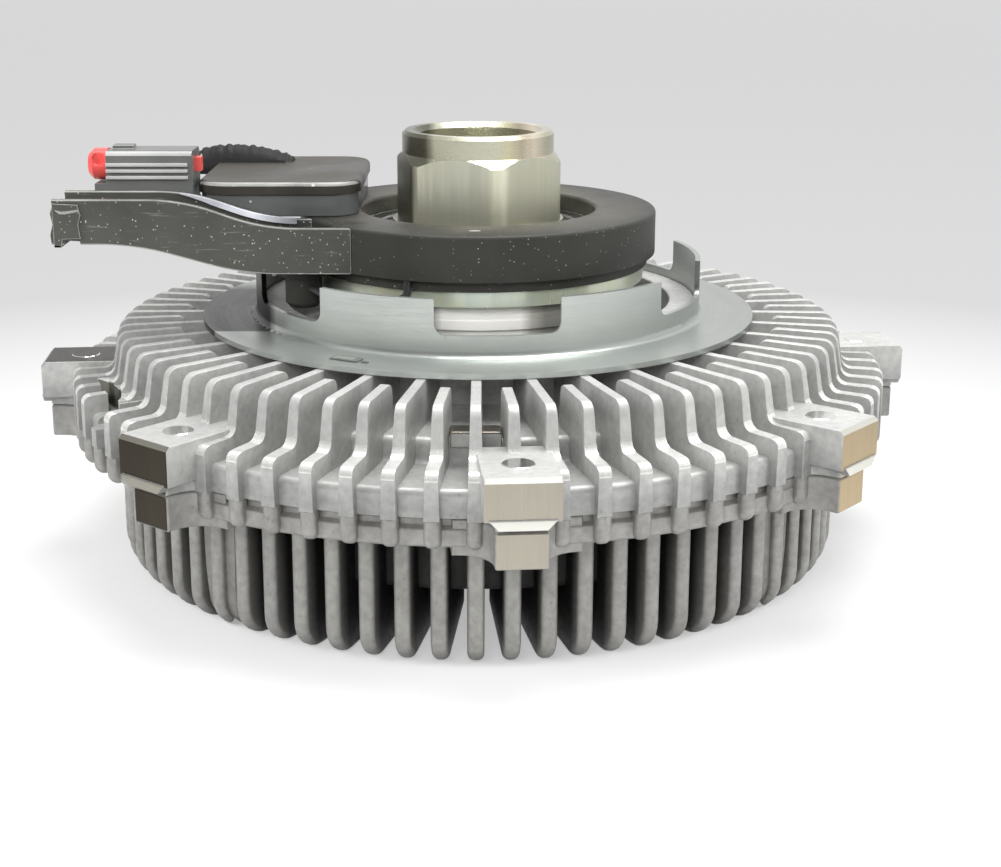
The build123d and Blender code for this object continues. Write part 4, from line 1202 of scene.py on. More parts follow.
@dataclass
class RearCasting:
    """Upper casting: drum, flange, fins, neck and the fan ears."""

    fins: FinForm = field(default_factory=FinForm)
    seat_r: float = 52.05
    seat_z: float = 59.8
    moat_r: float = 46.05
    moat_z: float = 50.0
    neck_r: float = 35.0
    neck_z: float = 61.0
    bore_r: float = 31.02
    groove_r: float = 32.5
    groove_z: float = 58.05
    shoulder_r: float = 28.0
    shoulder_z: float = 38.0
    lip_r: float = 34.0
    cavity_z: float = 41.5
    top_z: float = 55.7
    top_r: float = 85.8
    top_drop: float = 0.35
    foot_r: float = 87.5
    rib_z: float = 45.5
    rib_drop: float = 0.2
    flange_z: float = 41.4
    roof_z: float = 46.5
    root_t: float = 3.2
    tip_t: float = 2.1
    edge_share: float = 0.42
    long_r: float = 49.0
    short_r: float = 70.5
    short_round: float = 1.8
    highlight_w: float = 1.6
    highlight_h: float = 2.6
    highlight_end: float = 1.9
    ear_count: int = 8
    ear_phase: float = 4.7
    ear_face_r: float = 104.0
    ear_root_r: float = 83.0
    ear_w: float = 15.1
    ear_top_z: float = 46.6
    ear_low_z: float = 38.0
    ear_chamfer: float = 0.9
    ear_edge: float = 0.35
    ledge_w: float = 13.4
    ledge_low_w: float = 9.5
    ledge_h: float = 1.6
    ledge_lap: float = 0.6
    ledge_out: float = 0.4
    ledge_edge: float = 0.3
    lower_r: float = 102.5
    lower_w: float = 10.4
    lower_edge: float = 0.55
    flare_w: float = 7.6
    flare_r: float = 93.8
    flare_round: float = 7.0
    dark_ear_x: float = -86.0
    spot_circle_r: float = 94.5
    spot_r: float = 3.3
    spot_h: float = 0.15
    pad_phase: float = 49.7
    pad_w: float = 12.0
    pad_count: int = 4
    pad_inner_r: float = 76.0
    pad_outer_r: float = 85.0
    pad_drop: float = 0.2
    pad_edge: float = 0.8
    datum_r: float = 76.4
    datum_l: float = 5.2
    datum_w: float = 10.4
    datum_h: float = 1.9
    datum_edge: float = 0.5
    balance_phase: float = -66.8
    balance_circle_r: float = 113.0
    balance_r: float = 25.0
    balance_outer_r: float = 99.0
    balance_bearings: Triple = (-74.4, -62.0, -57.2)
    balance_depth: float = 1.5
    balance_steps: int = 24
    cut_clearance: float = 0.01
    fin_cut_deeper: float = 0.05
    wall_touch: float = 0.15
    post_inner_r: float = 91.3
    land_bearings: Pair = (-74.4, -59.0)
    land_inner_r: float = 84.0
    land_outer_r: float = 91.25
    land_drop: float = 0.35
    land_sink: float = 1.0
    land_steps: int = 8
    drill_circle_r: float = 88.0
    drill_bearing: float = -61.8
    drill_r: float = 0.9
    drill_depth: float = 0.6
    paint_place: Pair = (90.6, -0.6)
    paint_axes: Pair = (1.5, 1.1)
    paint_phase: float = -68.6
    paint_t: float = 0.08

    def base(self) -> Shape:
        """Shell of revolution under the fins.

        Returns:
            The shell.
        """
        fins = self.fins
        flange = [
            (fins.cavity_r, fins.parting_z),
            (fins.rim_wall_r, fins.parting_z),
            (fins.rim_wall_r, self.flange_z),
            (fins.drum_r, self.flange_z),
            (fins.drum_r, self.roof_z),
        ]
        seat = [
            (self.seat_r, self.roof_z),
            (self.seat_r, self.seat_z),
            (self.moat_r, self.seat_z),
            (self.moat_r, self.moat_z),
        ]
        neck = [
            (self.neck_r, self.moat_z),
            (self.neck_r, self.neck_z),
            (self.bore_r, self.neck_z),
        ]
        bore = [
            (self.bore_r, self.seat_z),
            (self.groove_r, self.seat_z),
            (self.groove_r, self.groove_z),
            (self.bore_r, self.groove_z),
            (self.bore_r, self.shoulder_z),
            (self.shoulder_r, self.shoulder_z),
            (self.shoulder_r, fins.parting_z),
            (self.lip_r, fins.parting_z),
            (self.lip_r, self.cavity_z),
            (fins.cavity_r, self.cavity_z),
        ]
        rounds = [0, 0.4, 1.4, 1.5, 1.5] + [0, 0.3, 0.5, 1.5] + [1.5, 0.5, 0.3] + [0] * len(bore)
        return turned(rounded(flange + seat + neck + bore, rounds), steps=fins.turn_steps)

    def fin(self, inner_r: float, inner_round: float) -> Shape:
        """One fin along +X, thinner towards its top and rounded all along its edge.

        Args:
            inner_r: Radius at which it begins.
            inner_round: Rounding of its inner top corner.

        Returns:
            The fin.
        """
        fins = self.fins
        wall_r, drum_r = fins.rim_wall_r - fins.sink, fins.drum_r - fins.sink
        outline = rounded(
            [
                (inner_r, self.top_z),
                (self.top_r, self.top_z - self.top_drop),
                (self.foot_r, self.rib_z),
                (fins.rim_r, self.rib_z - self.rib_drop),
                (fins.rim_r, fins.parting_z),
                (wall_r, fins.parting_z),
                (wall_r, self.flange_z - fins.sink),
                (drum_r, self.flange_z - fins.sink),
                (drum_r, self.roof_z - fins.sink),
                (inner_r, self.roof_z - fins.sink),
            ],
            [inner_round, 2.6, 2.2, 1.8, 0, 0, 0, 0, 0, 0],
            steps=5,
        )
        bm = side_prism(outline, self.root_t)
        rise = self.top_z - fins.parting_z
        for vert in bm.verts:
            share = (vert.co.z - fins.parting_z) / rise
            vert.co.y *= 1 + (self.tip_t / self.root_t - 1) * share
        edge = [
            e
            for e in sharp_edges(bm)
            if all(v.co.z > self.roof_z or v.co.x > fins.rim_wall_r for v in e.verts)
        ]
        soften(bm, edge, self.tip_t * self.edge_share, 3)
        mark(bm, Cast.PAINTED_HIGHLIGHT, self.highlighted)
        return bm

    def highlighted(self, face: bmesh.types.BMFace) -> bool:
        """Tells whether a fin's face carries the painted highlight at one of its bends.

        Args:
            face: A face of a fin that stands along +X.

        Returns:
            True at the fin's foot and at its outer corner.
        """
        middle = face.calc_center_median()
        rise = middle.z - self.rib_z
        foot = abs(middle.x - self.foot_r) < self.highlight_w and 0 < rise < self.highlight_h
        corner = middle.x > self.fins.rim_r - self.highlight_end and rise > -self.highlight_end
        return (foot or corner) and abs(face.normal.y) < 0.75

    def ear(self) -> Shape:
        """One fan ear along +X, with its machined face and the ledge under it.

        Returns:
            The ear.
        """
        half = self.ear_w / 2
        outline = oblong(self.ear_root_r, self.ear_face_r, -half, half)
        top = plan_prism(outline, self.ear_low_z, self.ear_top_z)
        middle_z, near_face = (self.ear_low_z + self.ear_top_z) / 2, self.ear_face_r - 1
        front = [
            e
            for e in sharp_edges(top)
            if all(v.co.z > middle_z and v.co.x > near_face for v in e.verts)
        ]
        soften(top, front, self.ear_chamfer, 1)
        soften(top, sharp_edges(top), self.ear_edge)
        for face in top.faces:
            # The chamfer takes the brighter edge finish as a painted highlight; the face below takes
            # the machined finish
            if face.calc_center_median().x > near_face and face.normal.x > 0.6:
                face.material_index = Cast.EDGE if face.normal.z > 0.3 else Cast.MACHINED
        return joined(top, self.ledge(), self.lower_ear(self.fins.parting_z, self.ear_low_z))

    def ledge(self) -> Shape:
        """The ledge under an ear, narrower downwards.

        Returns:
            The ledge.
        """
        high, low = self.ear_low_z + self.ledge_lap, self.ear_low_z - self.ledge_h
        corners = (
            (-self.ledge_w / 2, high),
            (self.ledge_w / 2, high),
            (self.ledge_low_w / 2, low),
            (-self.ledge_low_w / 2, low),
        )
        length = self.ear_face_r + self.ledge_out - self.ear_root_r
        bm = prism([Vector((self.ear_root_r, y, z)) for y, z in corners], Vector((length, 0, 0)))
        soften(bm, sharp_edges(bm, 30), self.ledge_edge)
        mark(bm, Cast.EDGE, lambda face: face.normal.x > 0.6)
        return bm

    def lower_ear(self, low: float, high: float) -> Shape:
        """The narrow block under an ear, which sweeps out into the rim.

        Args:
            low: Its lower height.
            high: Its upper height.

        Returns:
            The block.
        """
        half = self.lower_w / 2
        wide = half + self.flare_w
        outline = rounded(
            [
                (self.ear_root_r, -wide),
                (self.flare_r, -wide),
                (self.flare_r, -half),
                (self.lower_r, -half),
                (self.lower_r, half),
                (self.flare_r, half),
                (self.flare_r, wide),
                (self.ear_root_r, wide),
            ],
            [0, 0, self.flare_round, 0.5, 0.5, self.flare_round, 0, 0],
            steps=6,
        )
        bm = plan_prism(outline, low, high)
        outer = [e for e in sharp_edges(bm) if all(v.co.xy.length > self.flare_r for v in e.verts)]
        soften(bm, outer, self.lower_edge, 3)
        face_x = self.lower_r - 0.5
        mark(
            bm,
            Cast.MACHINED,
            lambda face: face.normal.x > 0.9 and face.calc_center_median().x > face_x,
        )
        return bm

    def spot(self) -> Shape:
        """Bright ejector spot on an ear's top.

        Returns:
            The spot.
        """
        rise, radius = self.spot_h, self.spot_r
        bm = turned(
            [(0, rise), (radius - 0.2, rise), (radius, 0), (radius, -0.5), (0, -0.5)],
            steps=40,
            closed=False,
        )
        bmesh.ops.translate(bm, verts=bm.verts, vec=(self.spot_circle_r, 0, self.ear_top_z))
        mark(bm, Cast.SPOT)
        return bm

    def datum(self) -> Shape:
        """Machined datum pad across the front fin.

        Returns:
            The pad.
        """
        size = Vector((self.datum_l, self.datum_w, self.datum_h + self.fins.sink))
        middle = Vector((self.datum_r, 0, self.roof_z + self.datum_h - size.z / 2))
        bm = bmesh.new()
        bmesh.ops.create_cube(bm, size=1.0)
        bmesh.ops.scale(bm, vec=size, verts=bm.verts)
        bmesh.ops.translate(bm, vec=middle, verts=bm.verts)
        soften(bm, sharp_edges(bm), self.datum_edge)
        mark(bm, Cast.MACHINED, lambda face: face.normal.z > 0.3)
        return bm

    def pad(self) -> Shape:
        """Raised pad over a cover screw.

        Returns:
            The pad.
        """
        outline = oblong(self.pad_inner_r, self.pad_outer_r, -self.pad_w / 2, self.pad_w / 2)
        bm = plan_prism(outline, self.fins.parting_z, self.ear_top_z - self.pad_drop)
        soften(bm, sharp_edges(bm), self.pad_edge)
        return bm

    def cut_radius(self, bearing: float) -> float:
        """Radius of the balance cut's inner wall.

        Args:
            bearing: Bearing in degrees.

        Returns:
            The radius there, as far out as the posts that the cut leaves.
        """
        turn = math.radians(bearing - self.balance_phase)
        across = self.balance_circle_r * math.sin(turn)
        reach = math.sqrt(max(self.balance_r**2 - across**2, 0.0))
        return min(self.balance_circle_r * math.cos(turn) - reach, self.post_inner_r)

    def balance_tool(self, deeper: float = 0.0) -> Shape:
        """The end mill's path where metal was taken off the flange to balance the casing.

        Args:
            deeper: How much deeper than the cut it goes.

        Returns:
            The solid that is taken out.
        """
        first, gap, last = self.balance_bearings
        turns = spaced(first, last, self.balance_steps)
        inner = [around(self.cut_radius(t) - self.cut_clearance, t) for t in turns]
        outer = [
            around(self.post_inner_r if turn < gap else self.balance_outer_r, turn)
            for turn in reversed(turns)
        ]
        floor_z = self.flange_z - self.balance_depth - deeper
        return plan_prism(inner + outer, floor_z, self.top_z)

    def land(self, tool: Shape) -> Shape:
        """Level land between the ribs beside the balance cut, with a drilled mark.

        Args:
            tool: The path of the end mill that cuts its outer side.

        Returns:
            The land.
        """
        turns = spaced(*self.land_bearings, self.land_steps)
        inner = [around(self.land_inner_r, turn) for turn in turns]
        outer = [around(self.land_outer_r, turn) for turn in reversed(turns)]
        top_z = self.rib_z - self.land_drop
        shape = plan_prism(inner + outer, self.flange_z - self.land_sink, top_z)
        drill = bmesh.new()
        bmesh.ops.create_cone(
            drill,
            cap_ends=True,
            segments=24,
            radius1=0.0,
            radius2=self.drill_r,
            depth=2 * self.drill_depth,
        )
        place = around(self.drill_circle_r, self.drill_bearing)
        bmesh.ops.translate(drill, vec=(*place, top_z), verts=drill.verts)
        shape = carved(carved(shape, tool), drill)
        drill.free()
        # Its level top takes the painted highlight
        mark(shape, Cast.PAINTED_HIGHLIGHT, lambda face: face.normal.z > 0.9)
        return shape

    def paint(self) -> Shape:
        """Dab of paint that marks the balanced place.

        Returns:
            The dab, on the cut's floor.
        """
        outline = oval(self.paint_place, *self.paint_axes)
        floor_z = self.flange_z - self.balance_depth
        return flat_mark(outline, floor_z, self.paint_t, self.paint_phase, Cast.PAINT)

    def cut_wall(self, face: bmesh.types.BMFace) -> bool:
        """Tells whether a face is part of the balance cut's round wall.

        Args:
            face: A face of the casting.

        Returns:
            True for the wall.
        """
        axis = Vector(around(self.balance_circle_r, self.balance_phase))
        away = (face.calc_center_median().xy - axis).length
        return abs(away - self.balance_r) < self.wall_touch and abs(face.normal.z) < 0.1

    def shaded_left_top(self, face: bmesh.types.BMFace) -> bool:
        """Tells whether a face is the top of the ear at the left, whose finish paints shade on it.

        Args:
            face: A face of the casting.

        Returns:
            True for that top and its ejector spot.
        """
        middle = face.calc_center_median()
        beyond = middle.x < self.dark_ear_x and middle.xy.length > self.foot_r
        return beyond and middle.z > self.ear_top_z - 0.05 and face.normal.z > 0.9

    def build(self) -> None:
        """Builds the casting as one piece."""
        tool, fin_tool = self.balance_tool(), self.balance_tool(self.fin_cut_deeper)
        ranks = self.fins.ranks(self.fin(self.long_r, 0), self.fin(self.short_r, self.short_round))
        shape = joined(
            carved(self.base(), tool),
            *(carved(rank, fin_tool) for rank in ranks),
            ring_of(joined(self.ear(), self.spot()), self.ear_count, self.ear_phase),
            ring_of(self.pad(), self.pad_count, self.pad_phase),
            ring_of(self.datum(), 1, self.fins.phase),
            self.land(fin_tool),
            self.paint(),
        )
        tool.free()
        fin_tool.free()
        # The balance cut's wall takes the machined-edge finish, whose bands paint it in shade on the
        # left
        mark(shape, Cast.EDGE, self.cut_wall)
        # The left ear's top takes the machined finish, whose bands paint it in shade
        mark(shape, Cast.MACHINED, self.shaded_left_top)
        finishes = [CASTING, MACHINED, SPOT, PAINT_GREEN, EAR_EDGE, PAINTED_HIGHLIGHT]
        make_piece("rear_casting", shape, Body.HOUSING, finishes, ("rear_housing",))


@dataclass
class FrontCasting:
    """Lower casting: drum, flange, fins, screw columns and the ears' lower halves."""

    rear: RearCasting
    rim_z: float = 29.5
    fin_r: float = 86.4
    fin_t: float = 3.5
    edge_share: float = 0.4
    corner_r: float = 7.0
    fin_floor_z: float = 14.0
    short_r: float = 52.0
    well_r: float = 33.0
    well_z: float = 5.0
    long_r: float = 32.0
    store_r: float = 27.0
    store_z: float = 11.0
    rotor_z: float = 19.0
    column_w: float = 9.6
    column_r: float = 84.7
    column_inner_r: float = 58.0
    column_edge: float = 1.4
    column_lap: float = 1.0
    lower_ear_z: float = 27.9
    seam_depth: float = 1.3
    seam_h: float = 1.6
    seam_bevel: float = 0.3

    def base(self) -> Shape:
        """Shell of revolution above the fins.

        Returns:
            The shell.
        """
        fins = self.rear.fins
        seam_r, seam_z = fins.rim_wall_r - self.seam_depth, fins.parting_z - self.seam_h
        inside = [
            (0, self.store_z),
            (self.store_r, self.store_z),
            (self.store_r, self.rotor_z),
            (fins.cavity_r, self.rotor_z),
            (fins.cavity_r, fins.parting_z),
            (seam_r, fins.parting_z),
            (seam_r, seam_z),
        ]
        outside = [
            (fins.rim_wall_r, seam_z - self.seam_bevel),
            (fins.rim_wall_r, self.rim_z),
            (fins.drum_r, self.rim_z),
            (fins.drum_r, self.fin_floor_z),
            (self.well_r, self.fin_floor_z),
            (self.well_r, self.well_z),
            (0, self.well_z),
        ]
        outline = inside + rounded(outside, [0.4, 1.2, 1.5, 1.5, 1.0, 1.5, 0])
        return turned(outline, steps=fins.turn_steps, closed=False)

    def fin(self, inner_r: float, low_z: float) -> Shape:
        """One fin along +X with a half-round nose and a large corner radius.

        Args:
            inner_r: Radius at which it begins.
            low_z: Height of the slope at its inner end.

        Returns:
            The fin.
        """
        fins = self.rear.fins
        wall_r, drum_r = fins.rim_wall_r - fins.sink, fins.drum_r - fins.sink
        outline = rounded(
            [
                (inner_r, low_z),
                (inner_r + low_z, 0),
                (self.fin_r, 0),
                (self.fin_r, self.rim_z),
                (fins.rim_r, self.rim_z),
                (fins.rim_r, fins.parting_z),
                (wall_r, fins.parting_z),
                (wall_r, self.rim_z + fins.sink),
                (drum_r, self.rim_z + fins.sink),
                (drum_r, self.fin_floor_z + fins.sink),
                (inner_r, self.fin_floor_z + fins.sink),
            ],
            [0, 0, self.corner_r, 1.5, 2.0, 0, 0, 0, 0, 0, 0],
            steps=7,
        )
        bm = side_prism(outline, self.fin_t)
        bmesh.ops.remove_doubles(bm, verts=bm.verts, dist=WELD)
        edge = [
            e
            for e in sharp_edges(bm)
            if all(v.co.z < self.fin_floor_z or v.co.x > fins.drum_r + 2 for v in e.verts)
            and any(v.co.x > inner_r + 0.1 for v in e.verts)
            and any(v.co.z < fins.parting_z - 0.1 for v in e.verts)
        ]
        soften(bm, edge, self.fin_t * self.edge_share, 4)
        return bm

    def column(self) -> Shape:
        """Wide smooth column that a screw passes through.

        Returns:
            The column.
        """
        top_z, foot_z = self.rim_z + self.column_lap, self.fin_floor_z + self.column_lap
        outline = rounded(
            [
                (self.column_inner_r, 0),
                (self.column_r, 0),
                (self.column_r, top_z),
                (self.rear.pad_inner_r, top_z),
                (self.rear.pad_inner_r, foot_z),
                (self.column_inner_r, foot_z),
            ],
            [2.0, self.corner_r, 0, 0, 0, 0],
            steps=7,
        )
        bm = side_prism(outline, self.column_w)
        seen = [e for e in sharp_edges(bm) if all(v.co.z < self.rim_z - 0.5 for v in e.verts)]
        soften(bm, seen, self.column_edge, 3)
        return bm

    def build(self) -> None:
        """Builds the casting as one piece."""
        rear, fins = self.rear, self.rear.fins
        ear = rear.lower_ear(self.lower_ear_z, fins.parting_z)
        shape = joined(
            self.base(),
            *fins.ranks(self.fin(self.long_r, self.well_z), self.fin(self.short_r, 0.0)),
            ring_of(self.column(), rear.pad_count, rear.pad_phase),
            ring_of(ear, rear.ear_count, rear.ear_phase),
        )
        finishes = [SHADED_COVER_CASTING, MACHINED]
        make_piece("front_casting", shape, Body.HOUSING, finishes, ("front_cover",))


@dataclass
class SpeedWheel:
    """Pressed wheel with six upstanding teeth, and the turned ring inside it."""

    edge: float = 0.18
    ring_edge: float = 0.25
    flange_z: float = 57.2
    stamp_r: float = 60.4
    stamp_phase: float = -27.6
    stamp_half_l: float = 1.6
    stamp_half_w: float = 3.4
    stamp_line: float = 0.5
    stamp_gap: float = 1.4
    stamp_t: float = 0.03
    stamp_inner_t: float = 0.05
    dash: Pair = (4.2, 6.0)
    land_low_z: float = 61.7
    land_top_z: float = 64.5
    land_outer_r: float = 37.5
    land_inner_r: float = 35.6
    land_step: float = 0.5
    land_step_low: float = 1.6
    land_step_high: float = 1.3

    def stamp(self) -> Shape:
        """Stamped mark and the dash beside it.

        Returns:
            Both, laid on the wheel's flange.
        """
        near, far = self.stamp_r - self.stamp_half_l, self.stamp_r + self.stamp_half_l
        wide, line = self.stamp_half_w, self.stamp_line
        marks = (
            (oblong(near, far, -wide, wide), self.stamp_t, Trim.SECOND),
            (
                oblong(near + line, far - line, line - wide, wide - self.stamp_gap),
                self.stamp_inner_t,
                Trim.PLAIN,
            ),
            (oblong(far - 2 * line, far - line, *self.dash), self.stamp_t, Trim.SECOND),
        )
        return joined(
            *(
                flat_mark(outline, self.flange_z, thickness, self.stamp_phase, number)
                for outline, thickness, number in marks
            )
        )

    def land(self) -> Shape:
        """Turned land on top of the flux ring, close under the coil's cup.

        Returns:
            The land.
        """
        upper_r = self.land_outer_r - self.land_step
        outline = [
            (self.land_inner_r, self.land_low_z),
            (self.land_outer_r, self.land_low_z),
            (self.land_outer_r, self.land_top_z - self.land_step_low),
            (upper_r, self.land_top_z - self.land_step_high),
            (upper_r, self.land_top_z),
            (self.land_inner_r, self.land_top_z),
        ]
        return turned(rounded(outline, [0, 0, 0.1, 0.1, 0.2, 0.2], steps=3))

    def build(self) -> None:
        """Builds the wheel and the flux ring."""
        wheel = joined(merged_copy("target_wheel", self.edge), self.stamp())
        finishes = [SHEET, STAMPED]
        make_piece("speed_wheel", wheel, Body.HOUSING, finishes, ("target_wheel",))
        ring = joined(merged_copy("flux_ring", self.ring_edge), self.land())
        make_piece("neck_ring", ring, Body.HOUSING, [TURNED], ("flux_ring",))


@dataclass
class Hub:
    """Hub with hexagon and collar."""

    edge: float = 0.35
    edge_from: float = 28.0
    hex_low_z: float = 78.7
    hex_top_z: float = 94.3
    hex_least_r: float = 17.5

    def turned_face(self, face: bmesh.types.BMFace) -> bool:
        """Tells whether a face lies off the hexagon's flats.

        Args:
            face: A face of the hub.

        Returns:
            True for the collar, the bore and all level faces.
        """
        middle = face.calc_center_median()
        on_hex = self.hex_low_z < middle.z < self.hex_top_z and middle.xy.length > self.hex_least_r
        return not (on_hex and abs(face.normal.z) < 0.3)

    def build(self) -> None:
        """Builds the hub with its flats and its turned faces."""
        shape = merged_copy("hub_shaft", self.edge, limit=self.edge_from)
        mark(shape, Trim.SECOND, self.turned_face)
        finishes = [HUB_ZINC, HUB_TURNED]
        make_piece("hub_forging", shape, Body.SHAFT, finishes, ("hub_shaft",))


@dataclass
class CoilRing:
    """Moulded coil ring, its steel cup, the sensor and its lead."""

    edge: float = 0.3
    steel_edge: float = 0.25
    lead_edge: float = 0.1
    top_z: float = 81.3
    gate_r: float = 35.0
    gate_axes: Pair = (1.3, 0.8)
    gate_phase: float = -1.1
    gate_t: float = 0.06

    def build(self) -> None:
        """Builds the ring, the cup, the sensor and the lead."""
        outline = oval((self.gate_r, 0.0), *self.gate_axes)
        gate = flat_mark(outline, self.top_z, self.gate_t, self.gate_phase, Trim.SECOND)
        ring = joined(merged_copy("stator_ring", self.edge, 3), gate)
        finishes = [RING_PLASTIC, WORN_AND_HIGHLIGHTED_EDGE]
        make_piece("moulded_ring", ring, Body.STATOR, finishes, ("stator_ring",))
        dress_copy("steel_cup", "coil_core", self.steel_edge, CUP_ZINC)
        dress_copy("sensor_body", "speed_sensor", self.steel_edge, RING_PLASTIC)
        dress_copy("sensor_cable", "sensor_lead", self.lead_edge, CABLE, 1, SHARP)


@dataclass
class TetherArm:
    """Channel that leads the harness away from the ring, with its broken end and its clip."""

    edge: float = 0.3
    front_y: float = -31.8
    width: float = 14.3
    wall_t: float = 1.6
    top_z: float = 87.7
    foot_z: float = 77.6
    foot_top_z: float = 81.3
    overrun: float = 4.0
    broken_line: Outline = field(
        default_factory=lambda: [
            (-94.5, 90.0),
            (-94.2, 86.2),
            (-94.7, 84.6),
            (-94.3, 82.1),
            (-94.9, 79.8),
            (-94.4, 75.0),
            (-99.0, 75.0),
            (-99.0, 90.0),
        ]
    )
    notch: Outline = field(
        default_factory=lambda: [(-92.2, 75.0), (-91.8, 78.6), (-88.4, 78.4), (-87.9, 75.0)]
    )
    clip_t: float = 0.45
    clip_strap: Pair = (-94.1, -92.5)
    clip_low_z: float = 77.0
    clip_plate: Outline = field(
        default_factory=lambda: [
            (-94.2, 86.9),
            (-88.5, 86.6),
            (-87.9, 84.3),
            (-88.5, 82.2),
            (-88.1, 79.0),
            (-92.1, 78.9),
            (-92.5, 77.0),
            (-94.1, 77.0),
        ]
    )
    clip_edge: float = 0.12
    sliver_gap: float = 0.05
    worn_sliver: Outline = field(
        default_factory=lambda: [
            (-93.6, 85.5),
            (-92.0, 85.1),
            (-88.2, 85.6),
            (-88.3, 85.1),
            (-91.4, 84.5),
            (-92.6, 84.6),
        ]
    )
    harness_edge: float = 1.2
    ribbon_bends_x: tuple[float, ...] = (-74.0, -66.0, -47.5, -36.0)
    ribbon_lift: float = 0.3
    ribbon_bend_r: float = 45.0
    ribbon_t: float = 1.3
    ribbon_end_t: float = 0.2
    ribbon_taper: float = 0.14
    ribbon_w: float = 0.9
    ribbon_rise: float = 0.15
    ribbon_edge: float = 0.2
    ribbon_gap: float = 0.6
    ribbon_from_x: float = -68.0
    ribbon_to_x: float = -40.0

    def end_tool(self) -> Shape:
        """What is broken away from the channel's free end."""
        width, middle_y = self.width + self.overrun, self.front_y + self.width / 2
        return joined(*(side_prism(line, width, middle_y) for line in (self.broken_line, self.notch)))

    def clip(self) -> Shape:
        """Worn clip of thin plate that grips the channel's free end.

        Returns:
            The clip, with a bright worn sliver on its front.
        """
        back_y = self.front_y + self.width
        front, back = self.front_y - self.clip_t, back_y + self.clip_t
        shapes = [
            side_prism(self.clip_plate, self.clip_t, self.front_y - self.clip_t / 2),
            side_prism(self.clip_plate, self.clip_t, back_y + self.clip_t / 2),
            plan_prism(oblong(*self.clip_strap, front, back), self.clip_low_z, self.foot_z - TOUCH),
        ]
        for shape in shapes:
            soften(shape, sharp_edges(shape, 30), self.clip_edge)
        clip = joined(*shapes)
        mark_strips(clip, self.clip_edge, Trim.SECOND)
        sliver = side_prism(self.worn_sliver, self.clip_edge, front - self.sliver_gap)
        mark(sliver, Trim.SECOND)
        return joined(clip, sliver)

    def ribbon(self) -> Shape:
        """Sleeve of the harness along the channel's rear wall, pale and glossy to paint the sheen on
        the harness's top.

        Returns:
            The sleeve, thin at its upper end.
        """
        heights = (self.top_z, self.top_z, self.foot_top_z, self.foot_top_z + self.ribbon_lift)
        path = list(zip(self.ribbon_bends_x, heights))
        line = rounded(path, [0, self.ribbon_bend_r, self.ribbon_bend_r, 0], steps=8)
        line = [(x, z) for x, z in line if self.ribbon_from_x < x < self.ribbon_to_x]
        under = []
        for x, z in reversed(line):
            depth = self.ribbon_end_t + self.ribbon_taper * (x - self.ribbon_from_x)
            under.append((x, z - min(self.ribbon_t, depth)))
        middle_y = self.front_y + self.width - self.wall_t - self.ribbon_gap
        over = [(x, z + self.ribbon_rise) for x, z in line]
        bm = side_prism(over + under, self.ribbon_w, middle_y)
        soften(bm, sharp_edges(bm), self.ribbon_edge)
        return bm

    def build(self) -> None:
        """Builds the channel, the harness and the clip."""
        finishes = [PLASTIC, WORN_AND_HIGHLIGHTED_EDGE]
        channel = merged_copy("tether_arm", self.edge)
        # Narrow edge faces take the pale edge finish: painted highlight with wear
        mark_strips(channel, self.edge, Trim.SECOND)
        tool = self.end_tool()
        channel = carved(channel, tool)
        tool.free()
        make_piece("arm_channel", channel, Body.STATOR, finishes, ("tether_arm",))
        dress_copy("harness_strip", "arm_harness", self.harness_edge, HARNESS_SHEEN, 3)
        make_piece("harness_sheen_ribbon", self.ribbon(), Body.STATOR, [RIBBON_SHEEN])
        make_piece(
            "channel_clip", self.clip(), Body.STATOR, finishes, ("arm_clip",)
        )


